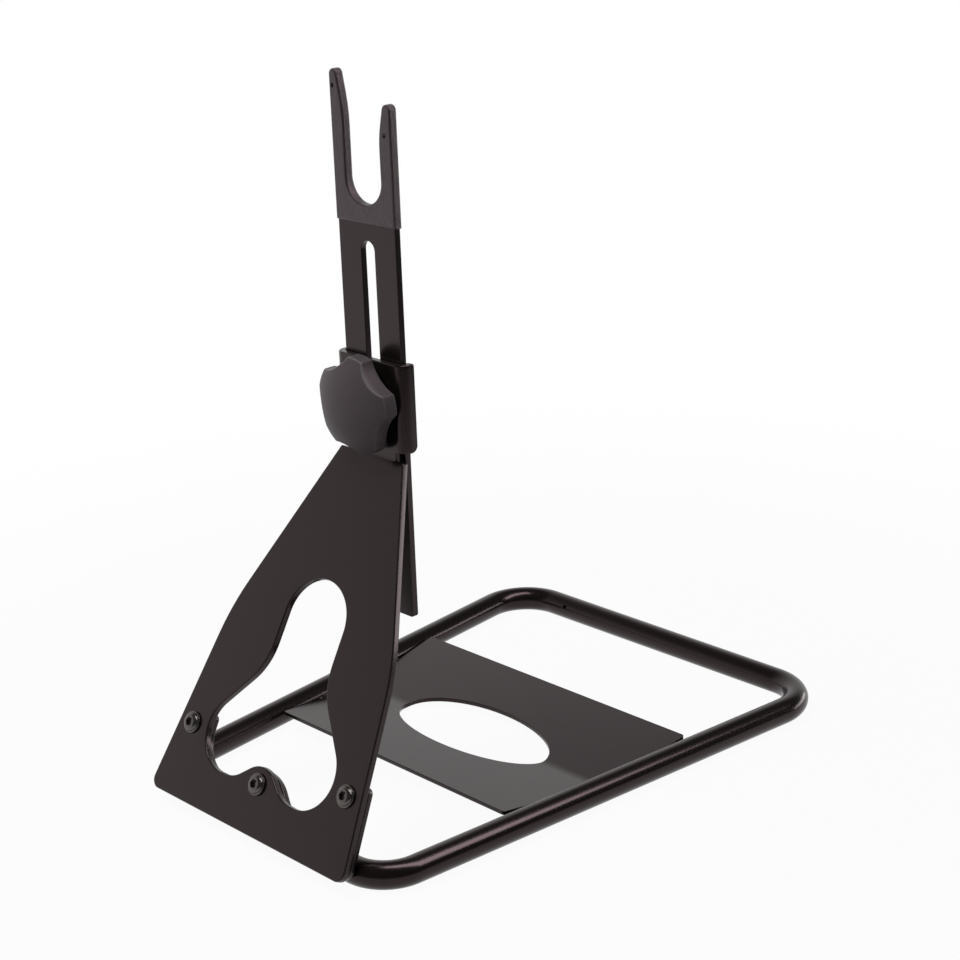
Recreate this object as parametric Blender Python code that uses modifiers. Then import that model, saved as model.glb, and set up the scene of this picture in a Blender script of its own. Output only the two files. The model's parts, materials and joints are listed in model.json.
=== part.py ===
"""Bike parking stand.

The tyre of a parked bicycle drops into the oval hole of the cross plate, and the
axle rests in a fork on a slotted arm. The arm slides in a channel at the top of
the leaning front plate, and a star knob clamps it.

Units are metres. X runs along the parked wheel, -Y is the front and +Z is up.
The origin is on the floor, in the middle of the stand.
"""
import math

import bmesh
import bpy
from mathutils import Matrix, Vector

# Fits, how far a guide solid runs past what it cuts, and how deep a broad one is
GAP = 0.0003
WELD_GAP = 0.0003
OVERRUN = 0.005
GUIDE_DEPTH = 0.080

# Base tube
DEPTH = 0.3681
TUBE_RADIUS = 0.008
TUBE_WALL = 0.0015
BACK_HALF_WIDTH = 0.132
SPLAY = 0.1007
FRONT_BEND_RADIUS = 0.025
BACK_BEND_RADIUS = 0.030
FRONT_Y = -DEPTH / 2
BACK_RUN_Y = DEPTH / 2 - TUBE_RADIUS
VENT_RADIUS = 0.0015
VENT_X = -0.0823
VENT_LEAN = math.radians(65)

# Cross plate, a shallow trough with its crease across the middle
CROSS_THICKNESS = 0.0025
CROSS_FRONT_Y = -0.0725
CROSS_BACK_Y = 0.0690
CROSS_EDGE_TOP = 0.0135
CROSS_CREASE_TOP = 0.0048
CROSS_CREASE_RADIUS = 0.028
CROSS_INSET = 0.0092
CROSS_CORNER_RADIUS = 0.002
OVAL_HALF_LENGTH = 0.060
OVAL_HALF_WIDTH = 0.028

# Front plate, in its own plane: u across, v up the slope from the foot
PLATE_THICKNESS = 0.0045
BRACKET_THICKNESS = 0.0039
LEAN = math.radians(29.77)
FOOT_HEIGHT = 0.0101
FOOT_HALF_WIDTH = 0.0864
WAIST_V = 0.1160
WAIST_HALF_WIDTH = 0.0704
SHOULDER_V = 0.2255
SHOULDER_HALF_WIDTH = 0.0263
SCREW_PLACES = {"left": (-0.0684, 0.0442), "middle": (0.0, 0.0284), "right": (0.0684, 0.0442)}
SCREW_CLEARANCE_RADIUS = 0.0033
FOOT_CORNER_RADIUS = 0.006
WAIST_CORNER_RADIUS = 0.150
SHOULDER_CORNER_RADIUS = 0.001

# Window in the front plate, as circles joined by common tangents
WINDOW_HEAD = (0.0, 0.1254, 0.0246)
WINDOW_WAIST = (0.0648, 0.1070, 0.0400)
WINDOW_LOBE = (0.0326, 0.0479, 0.0225)
WINDOW_LOBE_FOOT = (0.0290, 0.0455, 0.0200)
WINDOW_BUMP = (0.0, 0.0226, 0.0160)

# Rear bracket, with the circles of its own notch
BRACKET_FOOT_V = 0.0015
BRACKET_TOP_V = 0.0525
BRACKET_LOBE = (0.0350, 0.0450, 0.0213)
BRACKET_LOBE_FOOT = (0.0275, 0.0333, 0.0096)
BRACKET_BUMP = (0.0, 0.0127, 0.0242)
BRACKET_INSET = 0.0006
BRACKET_FOOT_RADIUS = 0.006
BRACKET_SHOULDER_RADIUS = 0.004
BRACKET_TIP_RADIUS = 0.003
BRACKET_TIP_U = 0.0595

# Neck and guide channel
NECK_BEND_RADIUS = 0.004
NECK_HALF_WIDTH = 0.0205
CHANNEL_HALF_WIDTH = 0.0280
CHANNEL_DEPTH = 0.0103
CHANNEL_BOTTOM = 0.2105
CHANNEL_TOP = 0.2620
CHANNEL_OUTER_RADIUS = 0.0065
CHANNEL_INNER_RADIUS = 0.0005
FLANGE_FOOT_RADIUS = 0.004
FLANGE_HEAD_RADIUS = 0.0015

# Sliding arm and fork
ARM_THICKNESS = 0.004
ARM_HALF_WIDTH = 0.0232
ARM_BOTTOM = 0.1098
ARM_CORNER_RADIUS = 0.002
SLOT_HALF_WIDTH = 0.0055
SLOT_BOTTOM = 0.1350
SLOT_TOP = 0.3280
COATING_WALL = 0.00065
COATING_GAP = 0.0002
COATING_BOTTOM = 0.3375
COATING_EDGE = 0.0007
COATING_HALF_WIDTH = ARM_HALF_WIDTH + COATING_WALL + COATING_GAP
HANGING_HOLES = ((-0.0212, 0.4113), (0.0190, 0.3878))
HANGING_HOLE_RADIUS = 0.0013

# Fork outline over its coating, as circles: x, z, radius, and turn
FORK_RIGHT_TIP = (COATING_HALF_WIDTH - 0.0033, 0.4012, 0.0033, 1)
FORK_RIGHT_INNER = (0.0741, 0.3800, 0.0600, 1)
FORK_CROTCH = (0.0, 0.3623, 0.0142, -1)
FORK_LEFT_INNER = (-0.1041, 0.3900, 0.0900, 1)
FORK_LEFT_TIP = (0.0031 - COATING_HALF_WIDTH, 0.4173, 0.0031, 1)

# Clamp
CLAMP_Z = 0.2372
BOLT_RADIUS = 0.005
BOLT_CHAMFER = 0.0008
BOLT_HEAD_RADIUS = 0.012
BOLT_HEAD_RIM = 0.0006
BOLT_HEAD_DOME = 0.005
BOLT_NECK_LENGTH = 0.0036
BOLT_REACH_IN_KNOB = 0.0135
CLAMP_HOLE_RADIUS = 0.0053
WASHER_RADIUS = 0.0105
WASHER_THICKNESS = 0.0016
KNOB_RADIUS = 0.0286
KNOB_RIM_RADIUS = 0.0008
KNOB_WALL = 0.0082
KNOB_DOME = 0.0084
KNOB_LOBES = 5
KNOB_FIRST_HOLLOW = math.radians(45.3)
HOLLOW_RADIUS = 0.0270
HOLLOW_FLOOR = 0.0234
BOSS_RADIUS = 0.0125
BOSS_HEIGHT = 0.0023
INSERT_ACROSS_FLATS = 0.0150
INSERT_LENGTH = 0.0120
SHANK_POCKET_DEPTH = 0.0148

# Plate screws, M6
SHANK_RADIUS = 0.003
SCREW_LENGTH = 0.0145
FLANGE_RADIUS = 0.0065
FLANGE_HEIGHT = 0.0010
FLANGE_CHAMFER = 0.0003
BUTTON_RADIUS = 0.0055
BUTTON_HEIGHT = 0.0030
BUTTON_SHOULDER_HEIGHT = 0.0012
CROWN_RADIUS = 0.0032
SCREW_CHAMFER = 0.0006
SOCKET_ACROSS_FLATS = 0.0048
SOCKET_DEPTH = 0.0020
SMALL_WASHER_RADIUS = 0.006
SMALL_WASHER_THICKNESS = 0.0008
NUT_ACROSS_FLATS = 0.010
NUT_HEIGHT = 0.0032
NUT_BORE_RADIUS = 0.0033

# Welds
BRACKET_BEAD_RADIUS = 0.0018
BRACKET_BEAD_HALF_LENGTH = 0.060
CROSS_BEAD_RADIUS = 0.0018
CROSS_BEAD_HALF_LENGTH = 0.038
BEAD_SIDES = 10

# Colours, as linear red, green and blue
BLACK_POWDER_COAT = ((0.030, 0.027, 0.027), 0.45, 0.0)
BLACK_PLASTIC = ((0.045, 0.042, 0.046), 0.60, 0.0)
BLACK_VINYL = ((0.035, 0.032, 0.034), 0.70, 0.0)
BLACK_OXIDE = ((0.040, 0.038, 0.038), 0.35, 0.8)
ZINC = ((0.55, 0.55, 0.56), 0.35, 1.0)
BRASS = ((0.60, 0.44, 0.18), 0.35, 1.0)


def clear_scene():
    """Remove every object, so the stand is built in an empty scene."""
    for old in list(bpy.data.objects):
        bpy.data.objects.remove(old, do_unlink=True)


clear_scene()
STAND = bpy.data.collections.new("bike_parking_stand")
CUTTERS = bpy.data.collections.new("cutters")
bpy.context.scene.collection.children.link(STAND)
bpy.context.scene.collection.children.link(CUTTERS)


def paint(part, finish):
    """Give a part its own material from a finish: colour, roughness and metallic value."""
    colour, roughness, metallic = finish
    material = bpy.data.materials.new(part.name)
    material.use_nodes = True
    shader = material.node_tree.nodes["Principled BSDF"]
    shader.inputs["Base Color"].default_value = (*colour, 1.0)
    shader.inputs["Roughness"].default_value = roughness
    shader.inputs["Metallic"].default_value = metallic
    part.data.materials.clear()
    part.data.materials.append(material)


def add_part(name, mesh, finish):
    """Make a named part of the stand from a mesh."""
    part = bpy.data.objects.new(name, mesh)
    STAND.objects.link(part)
    paint(part, finish)
    return part


def add_cutter(name, mesh, place=Matrix.Identity(4)):
    """Make a guide solid that shapes a part and isn't one itself."""
    cutter = bpy.data.objects.new(name, mesh)
    cutter.matrix_world = place
    cutter.display_type = "WIRE"
    cutter.hide_render = True
    CUTTERS.objects.link(cutter)
    return cutter


def combine(part, tool, operation):
    """Cut, join or trim a part with a guide solid."""
    step = part.modifiers.new(tool.name, "BOOLEAN")
    step.object = tool
    step.operation = operation
    step.solver = "EXACT"


def smooth(part, angle=35):
    """Shade round faces smooth and keep edges over the angle sharp."""
    part.data.shade_smooth()
    part.data.set_sharp_from_angle(angle=math.radians(angle))


def arc(centre, radius, start, sweep, step=math.radians(9)):
    """Points along an arc, both ends included."""
    count = max(1, math.ceil(abs(sweep) / step - 1e-6))
    angles = [start + sweep * i / count for i in range(count + 1)]
    return [(centre[0] + radius * math.cos(a), centre[1] + radius * math.sin(a)) for a in angles]


def rounded(corners, step=math.radians(15)):
    """A closed outline through corners given as x, y and radius, counterclockwise or clockwise."""
    points = []
    for i, (x, y, radius) in enumerate(corners):
        here = Vector((x, y))
        before = (Vector(corners[i - 1][:2]) - here).normalized()
        after = (Vector(corners[(i + 1) % len(corners)][:2]) - here).normalized()
        if radius == 0:
            points.append((x, y))
            continue
        half = before.angle(after) / 2
        middle = here + (before + after).normalized() * (radius / math.sin(half))
        first = here + before * (radius / math.tan(half)) - middle
        last = here + after * (radius / math.tan(half)) - middle
        start = math.atan2(first.y, first.x)
        sweep = math.remainder(math.atan2(last.y, last.x) - start, math.tau)
        points += arc(middle, radius, start, sweep, step)
    return points


def belt(circles, step=math.radians(9)):
    """A closed outline round circles given as x, y, radius and turn, joined by common tangents.

    A turn of 1 goes round the circle to the left and -1 to the right.
    """
    headings = []
    for i, (x, y, radius, turn) in enumerate(circles):
        next_x, next_y, next_radius, next_turn = circles[(i + 1) % len(circles)]
        across = Vector((next_x - x, next_y - y))
        lift = next_turn * next_radius - turn * radius
        headings.append(math.atan2(across.y, across.x) - math.asin(lift / across.length))
    points = []
    for i, (x, y, radius, turn) in enumerate(circles):
        sweep = (headings[i] - headings[i - 1]) % math.tau
        if turn < 0:
            sweep -= math.tau
        if abs(sweep) > math.tau - 1e-6:
            sweep = 0.0
        points += arc((x, y), radius, headings[i - 1] - turn * math.pi / 2, sweep, step)
    return points


def circle(x, y, radius, count=32):
    """A closed round outline."""
    return arc((x, y), radius, 0.0, math.tau * (count - 1) / count, math.tau / count)


def grown(circles, amount):
    """The circles of a belt outline moved outwards by an amount."""
    return [(x, y, radius + turn * amount, turn) for x, y, radius, turn in circles]


def mesh_of_curve(name, curve, weld=1e-6):
    """Turn curve data into one closed mesh."""
    guide = bpy.data.objects.new(name + "_curve", curve)
    bpy.context.scene.collection.objects.link(guide)
    graph = bpy.context.evaluated_depsgraph_get()
    mesh = bpy.data.meshes.new_from_object(guide.evaluated_get(graph))
    mesh.name = name
    shape = bmesh.new()
    shape.from_mesh(mesh)
    bmesh.ops.remove_doubles(shape, verts=shape.verts, dist=weld)
    bmesh.ops.recalc_face_normals(shape, faces=shape.faces)
    shape.to_mesh(mesh)
    shape.free()
    bpy.data.objects.remove(guide)
    bpy.data.curves.remove(curve)
    return mesh


def flat_mesh(name, outlines, thickness):
    """A flat sheet from outlines in X and Y, the first the rim and the others holes."""
    curve = bpy.data.curves.new(name, "CURVE")
    curve.dimensions = "2D"
    curve.fill_mode = "BOTH"
    curve.extrude = thickness / 2
    for outline in outlines:
        spline = curve.splines.new("POLY")
        spline.points.add(len(outline) - 1)
        for point, (x, y) in zip(spline.points, outline):
            point.co = (x, y, 0.0, 1.0)
        spline.use_cyclic_u = True
    return mesh_of_curve(name, curve)


def tube_mesh(name, route, radius, sides, closed=False, ends=1.0):
    """A round bar along a route. Its open ends shrink to a share of the radius."""
    curve = bpy.data.curves.new(name, "CURVE")
    curve.dimensions = "3D"
    curve.fill_mode = "FULL"
    curve.bevel_depth = radius
    curve.bevel_resolution = (sides - 4) // 2
    curve.use_fill_caps = not closed
    spline = curve.splines.new("POLY")
    spline.points.add(len(route) - 1)
    for point, place in zip(spline.points, route):
        point.co = (*place, 1.0)
    spline.points[0].radius = ends
    spline.points[-1].radius = ends
    spline.use_cyclic_u = closed
    return mesh_of_curve(name, curve)


def turned_mesh(name, profile, steps):
    """A turned solid about Z, from a profile of radius and height, top to bottom."""
    mesh = bpy.data.meshes.new(name + "_profile")
    points = [(radius, 0.0, height) for radius, height in profile]
    edges = [(i, i + 1) for i in range(len(points) - 1)]
    mesh.from_pydata(points, edges, [])
    guide = bpy.data.objects.new(name + "_guide", mesh)
    bpy.context.scene.collection.objects.link(guide)
    screw = guide.modifiers.new("turn", "SCREW")
    screw.axis = "Z"
    screw.angle = math.tau
    screw.steps = steps
    screw.render_steps = steps
    screw.use_merge_vertices = True
    screw.merge_threshold = 1e-5
    graph = bpy.context.evaluated_depsgraph_get()
    turned = bpy.data.meshes.new_from_object(guide.evaluated_get(graph))
    turned.name = name
    bpy.data.objects.remove(guide)
    bpy.data.meshes.remove(mesh)
    return turned


def prism_mesh(name, radius, bottom, top, sides, turn=0.0):
    """An upright round or many-sided bar between two heights."""
    shape = bmesh.new()
    place = Matrix.Translation((0.0, 0.0, (bottom + top) / 2)) @ Matrix.Rotation(turn, 4, "Z")
    bmesh.ops.create_cone(
        shape, cap_ends=True, segments=sides, radius1=radius, radius2=radius,
        depth=top - bottom, matrix=place)
    mesh = bpy.data.meshes.new(name)
    shape.to_mesh(mesh)
    shape.free()
    return mesh


def ring_mesh(name, outer, inner, bottom, top, sides=40):
    """A flat washer between two heights."""
    return flat_mesh_between(name, [circle(0, 0, outer, sides), circle(0, 0, inner, sides)], bottom, top)


def flat_mesh_between(name, outlines, bottom, top):
    """A flat sheet that lies between two heights."""
    mesh = flat_mesh(name, outlines, top - bottom)
    mesh.transform(Matrix.Translation((0.0, 0.0, (bottom + top) / 2)))
    return mesh


def hexagon(across_flats):
    """A closed six-sided outline."""
    return circle(0, 0, across_flats / math.sqrt(3), 6)


# Turns an outline in Y and Z into one that is seen from the side
SIDE_VIEW = Matrix(((0, 0, 1, 0), (1, 0, 0, 0), (0, 1, 0, 0), (0, 0, 0, 1)))

# Frame of the leaning plate: X across, Y up the slope, Z out of its front face
ON_PLATE = Matrix.Translation((0.0, FRONT_Y, FOOT_HEIGHT)) @ Matrix.Rotation(math.pi / 2 - LEAN, 4, "X")
BRACKET_FRONT = -(PLATE_THICKNESS + GAP)
BRACKET_BACK = BRACKET_FRONT - BRACKET_THICKNESS
TUBE_BEHIND_PLATE = -BRACKET_BACK + WELD_GAP + TUBE_RADIUS
TUBE_V = (TUBE_RADIUS - FOOT_HEIGHT + TUBE_BEHIND_PLATE * math.sin(LEAN)) / math.cos(LEAN)
FRONT_RUN_Y = (ON_PLATE @ Vector((0.0, TUBE_V, -TUBE_BEHIND_PLATE))).y

# Upright planes of the neck and of the arm behind it
BEND_SETBACK = NECK_BEND_RADIUS * math.tan(LEAN / 2)
NECK_Y = FRONT_Y + (SHOULDER_V + BEND_SETBACK / 2) * math.sin(LEAN)
ARM_FRONT_Y = NECK_Y + PLATE_THICKNESS + GAP
ARM_MIDDLE_Y = ARM_FRONT_Y + ARM_THICKNESS / 2
ARM_BACK_Y = ARM_FRONT_Y + ARM_THICKNESS


def facing_front(y, x=0.0, z=0.0):
    """A frame that stands upright at a depth, its X to the right, its Y up and its Z to the front."""
    return Matrix.Translation((x, y, z)) @ Matrix.Rotation(math.pi / 2, 4, "X")


def half_width_at(y):
    """Half the width of the base at a depth, between the centre lines of its long sides."""
    return BACK_HALF_WIDTH - SPLAY * (BACK_RUN_Y - y)


def make_base_tube():
    """One hollow tube bent into a loop with four round corners, wider at the back."""
    corners = [
        (-half_width_at(FRONT_RUN_Y), FRONT_RUN_Y, FRONT_BEND_RADIUS),
        (half_width_at(FRONT_RUN_Y), FRONT_RUN_Y, FRONT_BEND_RADIUS),
        (BACK_HALF_WIDTH, BACK_RUN_Y, BACK_BEND_RADIUS),
        (-BACK_HALF_WIDTH, BACK_RUN_Y, BACK_BEND_RADIUS),
    ]
    route = [(x, y, TUBE_RADIUS) for x, y in rounded(corners, math.radians(9))]
    outside = tube_mesh("base_tube", route, TUBE_RADIUS, 20, closed=True)
    inside = tube_mesh("tube_inside", route, TUBE_RADIUS - TUBE_WALL, 12, closed=True)
    tube = add_part("base_tube", outside, BLACK_POWDER_COAT)
    combine(tube, add_cutter("tube_inside", inside), "DIFFERENCE")
    vent = prism_mesh("vent", VENT_RADIUS, 0.0, 2 * TUBE_RADIUS, 12)
    at_vent = Matrix.Translation((VENT_X, BACK_RUN_Y, TUBE_RADIUS)) @ Matrix.Rotation(VENT_LEAN, 4, "X")
    combine(tube, add_cutter("vent", vent, at_vent), "DIFFERENCE")
    smooth(tube)


def crease_height(y):
    """Height of the cross plate's top at a depth, before the crease is rounded."""
    middle = (CROSS_FRONT_Y + CROSS_BACK_Y) / 2
    share = abs(y - middle) / (CROSS_BACK_Y - middle)
    return CROSS_CREASE_TOP + (CROSS_EDGE_TOP - CROSS_CREASE_TOP) * share


def make_cross_plate():
    """A sheet between the long sides, dipped at its crease, with the oval hole for the tyre."""
    middle = (CROSS_FRONT_Y + CROSS_BACK_Y) / 2
    first = CROSS_FRONT_Y - OVERRUN
    last = CROSS_BACK_Y + OVERRUN
    slope = math.atan((CROSS_EDGE_TOP - CROSS_CREASE_TOP) / (CROSS_BACK_Y - middle))
    drop = CROSS_THICKNESS / math.cos(slope)
    profile = rounded([
        (first, crease_height(first) - drop, 0.0),
        (middle, CROSS_CREASE_TOP - drop, CROSS_CREASE_RADIUS + CROSS_THICKNESS),
        (last, crease_height(last) - drop, 0.0),
        (last, crease_height(last), 0.0),
        (middle, CROSS_CREASE_TOP, CROSS_CREASE_RADIUS),
        (first, crease_height(first), 0.0)], math.radians(3))
    sheet = flat_mesh("cross_plate", [profile], 2 * BACK_HALF_WIDTH)
    sheet.transform(SIDE_VIEW)
    plate = add_part("cross_plate", sheet, BLACK_POWDER_COAT)

    front = half_width_at(CROSS_FRONT_Y) - CROSS_INSET
    back = half_width_at(CROSS_BACK_Y) - CROSS_INSET
    corner = CROSS_CORNER_RADIUS
    rim = rounded([
        (-front, CROSS_FRONT_Y, corner), (front, CROSS_FRONT_Y, corner),
        (back, CROSS_BACK_Y, corner), (-back, CROSS_BACK_Y, corner)])
    oval = [(OVAL_HALF_LENGTH * x, middle + OVAL_HALF_WIDTH * y) for x, y in circle(0, 0, 1, 64)]
    blank = add_cutter("cross_blank", flat_mesh("cross_blank", [rim, oval], 4 * CROSS_EDGE_TOP))
    combine(plate, blank, "INTERSECT")
    smooth(plate)


def make_cross_welds():
    """A bead along each side of the cross plate, resting on the plate and on the tube."""
    middle = (CROSS_FRONT_Y + CROSS_BACK_Y) / 2
    reach = TUBE_RADIUS + CROSS_BEAD_RADIUS + WELD_GAP
    end = CROSS_BEAD_HALF_LENGTH
    shares = (-1.0, CROSS_BEAD_RADIUS / end - 1.0, -0.5, -0.2, 0.2, 0.5, 1.0 - CROSS_BEAD_RADIUS / end, 1.0)
    for side, sign in (("left", -1), ("right", 1)):
        route = []
        for share in shares:
            y = middle + end * share
            height = crease_height(y) + CROSS_BEAD_RADIUS + WELD_GAP
            inwards = math.sqrt(reach ** 2 - (height - TUBE_RADIUS) ** 2)
            route.append((sign * (half_width_at(y) - inwards), y, height))
        name = "cross_plate_weld_" + side
        mesh = tube_mesh(name, route, CROSS_BEAD_RADIUS, BEAD_SIDES, ends=0.5)
        smooth(add_part(name, mesh, BLACK_POWDER_COAT))


def lobe_circles(lobe, lobe_foot, bump):
    """The circles round two lobes and the bump between them, from left to right."""
    lobe_x, lobe_v, lobe_radius = lobe
    foot_x, foot_v, foot_radius = lobe_foot
    return [
        (-lobe_x, lobe_v, lobe_radius, 1),
        (-foot_x, foot_v, foot_radius, 1),
        (*bump, -1),
        (foot_x, foot_v, foot_radius, 1),
        (lobe_x, lobe_v, lobe_radius, 1),
    ]


def window_circles():
    """The circles of the whole window, as far as its round head."""
    waist_x, waist_v, waist_radius = WINDOW_WAIST
    left_waist = (-waist_x, waist_v, waist_radius, -1)
    right_waist = (waist_x, waist_v, waist_radius, -1)
    lobes = lobe_circles(WINDOW_LOBE, WINDOW_LOBE_FOOT, WINDOW_BUMP)
    return [(*WINDOW_HEAD, 1), left_waist] + lobes + [right_waist]


def screw_holes():
    """Round outlines for the three screws."""
    return [circle(u, v, SCREW_CLEARANCE_RADIUS, 24) for u, v in SCREW_PLACES.values()]


def make_rear_bracket():
    """A low sheet behind the foot of the plate, with the same two lobes open at the top."""
    slope = (FOOT_HALF_WIDTH - WAIST_HALF_WIDTH) / WAIST_V
    lean = math.atan(slope)
    corners = []
    for v, radius in ((BRACKET_FOOT_V + BRACKET_FOOT_RADIUS, BRACKET_FOOT_RADIUS),
                      (BRACKET_TOP_V - BRACKET_SHOULDER_RADIUS, BRACKET_SHOULDER_RADIUS)):
        edge = FOOT_HALF_WIDTH - BRACKET_INSET - slope * v
        corners.append((edge - radius / math.cos(lean), v, radius))
    (foot_u, foot_v, foot_radius), (top_u, top_v, top_radius) = corners
    tip_v = BRACKET_TOP_V - BRACKET_TIP_RADIUS
    lobes = lobe_circles(BRACKET_LOBE, BRACKET_LOBE_FOOT, BRACKET_BUMP)
    notch = [(u, v, radius, -turn) for u, v, radius, turn in reversed(lobes)]
    rim = [(-foot_u, foot_v, foot_radius, 1), (foot_u, foot_v, foot_radius, 1), (top_u, top_v, top_radius, 1),
           (BRACKET_TIP_U, tip_v, BRACKET_TIP_RADIUS, 1)]
    rim += notch
    rim += [(-BRACKET_TIP_U, tip_v, BRACKET_TIP_RADIUS, 1), (-top_u, top_v, top_radius, 1)]
    mesh = flat_mesh_between("rear_bracket", [belt(rim)] + screw_holes(), BRACKET_BACK, BRACKET_FRONT)
    mesh.transform(ON_PLATE)
    smooth(add_part("rear_bracket", mesh, BLACK_POWDER_COAT))


def make_bracket_weld():
    """A bead in the groove between the bracket and the top of the front run of the tube."""
    reach = TUBE_RADIUS + BRACKET_BEAD_RADIUS + WELD_GAP
    offset = TUBE_RADIUS - BRACKET_BEAD_RADIUS
    v = TUBE_V + math.sqrt(reach ** 2 - offset ** 2)
    behind = BRACKET_BACK - WELD_GAP - BRACKET_BEAD_RADIUS
    half = BRACKET_BEAD_HALF_LENGTH
    stations = (-half, -half + BRACKET_BEAD_RADIUS, half - BRACKET_BEAD_RADIUS, half)
    route = [(u, v, behind) for u in stations]
    mesh = tube_mesh("bracket_weld", route, BRACKET_BEAD_RADIUS, BEAD_SIDES, ends=0.5)
    mesh.transform(ON_PLATE)
    smooth(add_part("bracket_weld", mesh, BLACK_POWDER_COAT))


def bent_sheet_profile():
    """Side view of the bent sheet, in Y and Z: up the slope, round the bend and up the neck."""
    lower_front = ON_PLATE @ Vector((0.0, -OVERRUN, 0.0))
    lower_back = ON_PLATE @ Vector((0.0, -OVERRUN, -PLATE_THICKNESS))
    crease_v = (NECK_Y - FRONT_Y) / math.sin(LEAN)
    crease = ON_PLATE @ Vector((0.0, crease_v, 0.0))
    back_crease_y = NECK_Y + PLATE_THICKNESS
    back_crease_z = crease.z - PLATE_THICKNESS * math.tan(LEAN / 2)
    top = CHANNEL_BOTTOM + OVERRUN
    return rounded([
        (lower_back.y, lower_back.z, 0.0),
        (back_crease_y, back_crease_z, NECK_BEND_RADIUS + PLATE_THICKNESS),
        (back_crease_y, top, 0.0),
        (NECK_Y, top, 0.0),
        (NECK_Y, crease.z, NECK_BEND_RADIUS),
        (lower_front.y, lower_front.z, 0.0)], math.radians(6))


def make_front_plate():
    """The leaning plate, its upright neck and the channel round the arm, all one bent sheet."""
    sheet = flat_mesh("front_plate", [bent_sheet_profile()], 2 * (FOOT_HALF_WIDTH + OVERRUN))
    sheet.transform(SIDE_VIEW)
    plate = add_part("front_plate", sheet, BLACK_POWDER_COAT)

    foot, waist, shoulder = FOOT_CORNER_RADIUS, WAIST_CORNER_RADIUS, SHOULDER_CORNER_RADIUS
    neck_top_v = CHANNEL_TOP
    rim = rounded([
        (-FOOT_HALF_WIDTH, 0.0, foot), (FOOT_HALF_WIDTH, 0.0, foot),
        (WAIST_HALF_WIDTH, WAIST_V, waist),
        (SHOULDER_HALF_WIDTH, SHOULDER_V, shoulder), (NECK_HALF_WIDTH, SHOULDER_V, 0.0),
        (NECK_HALF_WIDTH, neck_top_v, 0.0), (-NECK_HALF_WIDTH, neck_top_v, 0.0),
        (-NECK_HALF_WIDTH, SHOULDER_V, 0.0), (-SHOULDER_HALF_WIDTH, SHOULDER_V, shoulder),
        (-WAIST_HALF_WIDTH, WAIST_V, waist)], math.radians(5))
    window = belt(window_circles())
    blank = flat_mesh("plate_blank", [rim, window] + screw_holes(), GUIDE_DEPTH)
    combine(plate, add_cutter("plate_blank", blank, ON_PLATE), "INTERSECT")

    back = NECK_Y + CHANNEL_DEPTH
    inner_half = CHANNEL_HALF_WIDTH - PLATE_THICKNESS
    inner_y = NECK_Y + PLATE_THICKNESS
    section = rounded([
        (-CHANNEL_HALF_WIDTH, back, 0.0),
        (-CHANNEL_HALF_WIDTH, NECK_Y, CHANNEL_OUTER_RADIUS),
        (CHANNEL_HALF_WIDTH, NECK_Y, CHANNEL_OUTER_RADIUS),
        (CHANNEL_HALF_WIDTH, back, 0.0),
        (inner_half, back, 0.0),
        (inner_half, inner_y, CHANNEL_INNER_RADIUS),
        (-inner_half, inner_y, CHANNEL_INNER_RADIUS),
        (-inner_half, back, 0.0)], math.radians(11.25))
    channel_mesh = flat_mesh_between("channel", [section], CHANNEL_BOTTOM - OVERRUN, CHANNEL_TOP + OVERRUN)
    channel = add_cutter("channel", channel_mesh)
    side = rounded([
        (NECK_Y - OVERRUN, CHANNEL_BOTTOM, 0.0), (back, CHANNEL_BOTTOM, FLANGE_FOOT_RADIUS),
        (back, CHANNEL_TOP, FLANGE_HEAD_RADIUS), (NECK_Y - OVERRUN, CHANNEL_TOP, 0.0)])
    side_mesh = flat_mesh("channel_side", [side], GUIDE_DEPTH)
    side_mesh.transform(SIDE_VIEW)
    combine(channel, add_cutter("channel_side", side_mesh), "INTERSECT")
    combine(plate, channel, "UNION")
    bore = prism_mesh("clamp_bore", CLAMP_HOLE_RADIUS, -2 * PLATE_THICKNESS, 2 * PLATE_THICKNESS, 32)
    combine(plate, add_cutter("clamp_bore", bore, facing_front(NECK_Y, z=CLAMP_Z)), "DIFFERENCE")
    smooth(plate)


def fork_circles(bottom):
    """The fork's outline over its coating, closed by a square foot at a height."""
    half = COATING_HALF_WIDTH
    return [
        (-half, bottom, 0.0, 1), (half, bottom, 0.0, 1),
        FORK_RIGHT_TIP, FORK_RIGHT_INNER, FORK_CROTCH, FORK_LEFT_INNER, FORK_LEFT_TIP,
    ]


def arm_outlines():
    """The arm's outline with its fork, its slot and its two hanging holes, in X and Z."""
    inside_coating = -(COATING_WALL + COATING_GAP)
    corner = ARM_CORNER_RADIUS
    edge = ARM_HALF_WIDTH - corner
    rim = [(-edge, ARM_BOTTOM + corner, corner, 1), (edge, ARM_BOTTOM + corner, corner, 1)]
    rim += grown(fork_circles(0.0)[2:], inside_coating)
    slot_radius = SLOT_HALF_WIDTH
    slot = belt([
        (0.0, SLOT_BOTTOM + slot_radius, slot_radius, 1), (0.0, SLOT_TOP - slot_radius, slot_radius, 1)])
    holes = [circle(x, z, HANGING_HOLE_RADIUS, 12) for x, z in HANGING_HOLES]
    return [belt(rim), slot] + holes


def make_sliding_arm(carriage):
    """The slotted bar with the uneven fork at its top."""
    arm = add_part("sliding_arm", flat_mesh("sliding_arm", arm_outlines(), ARM_THICKNESS), BLACK_POWDER_COAT)
    arm.parent = carriage
    smooth(arm)


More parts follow.
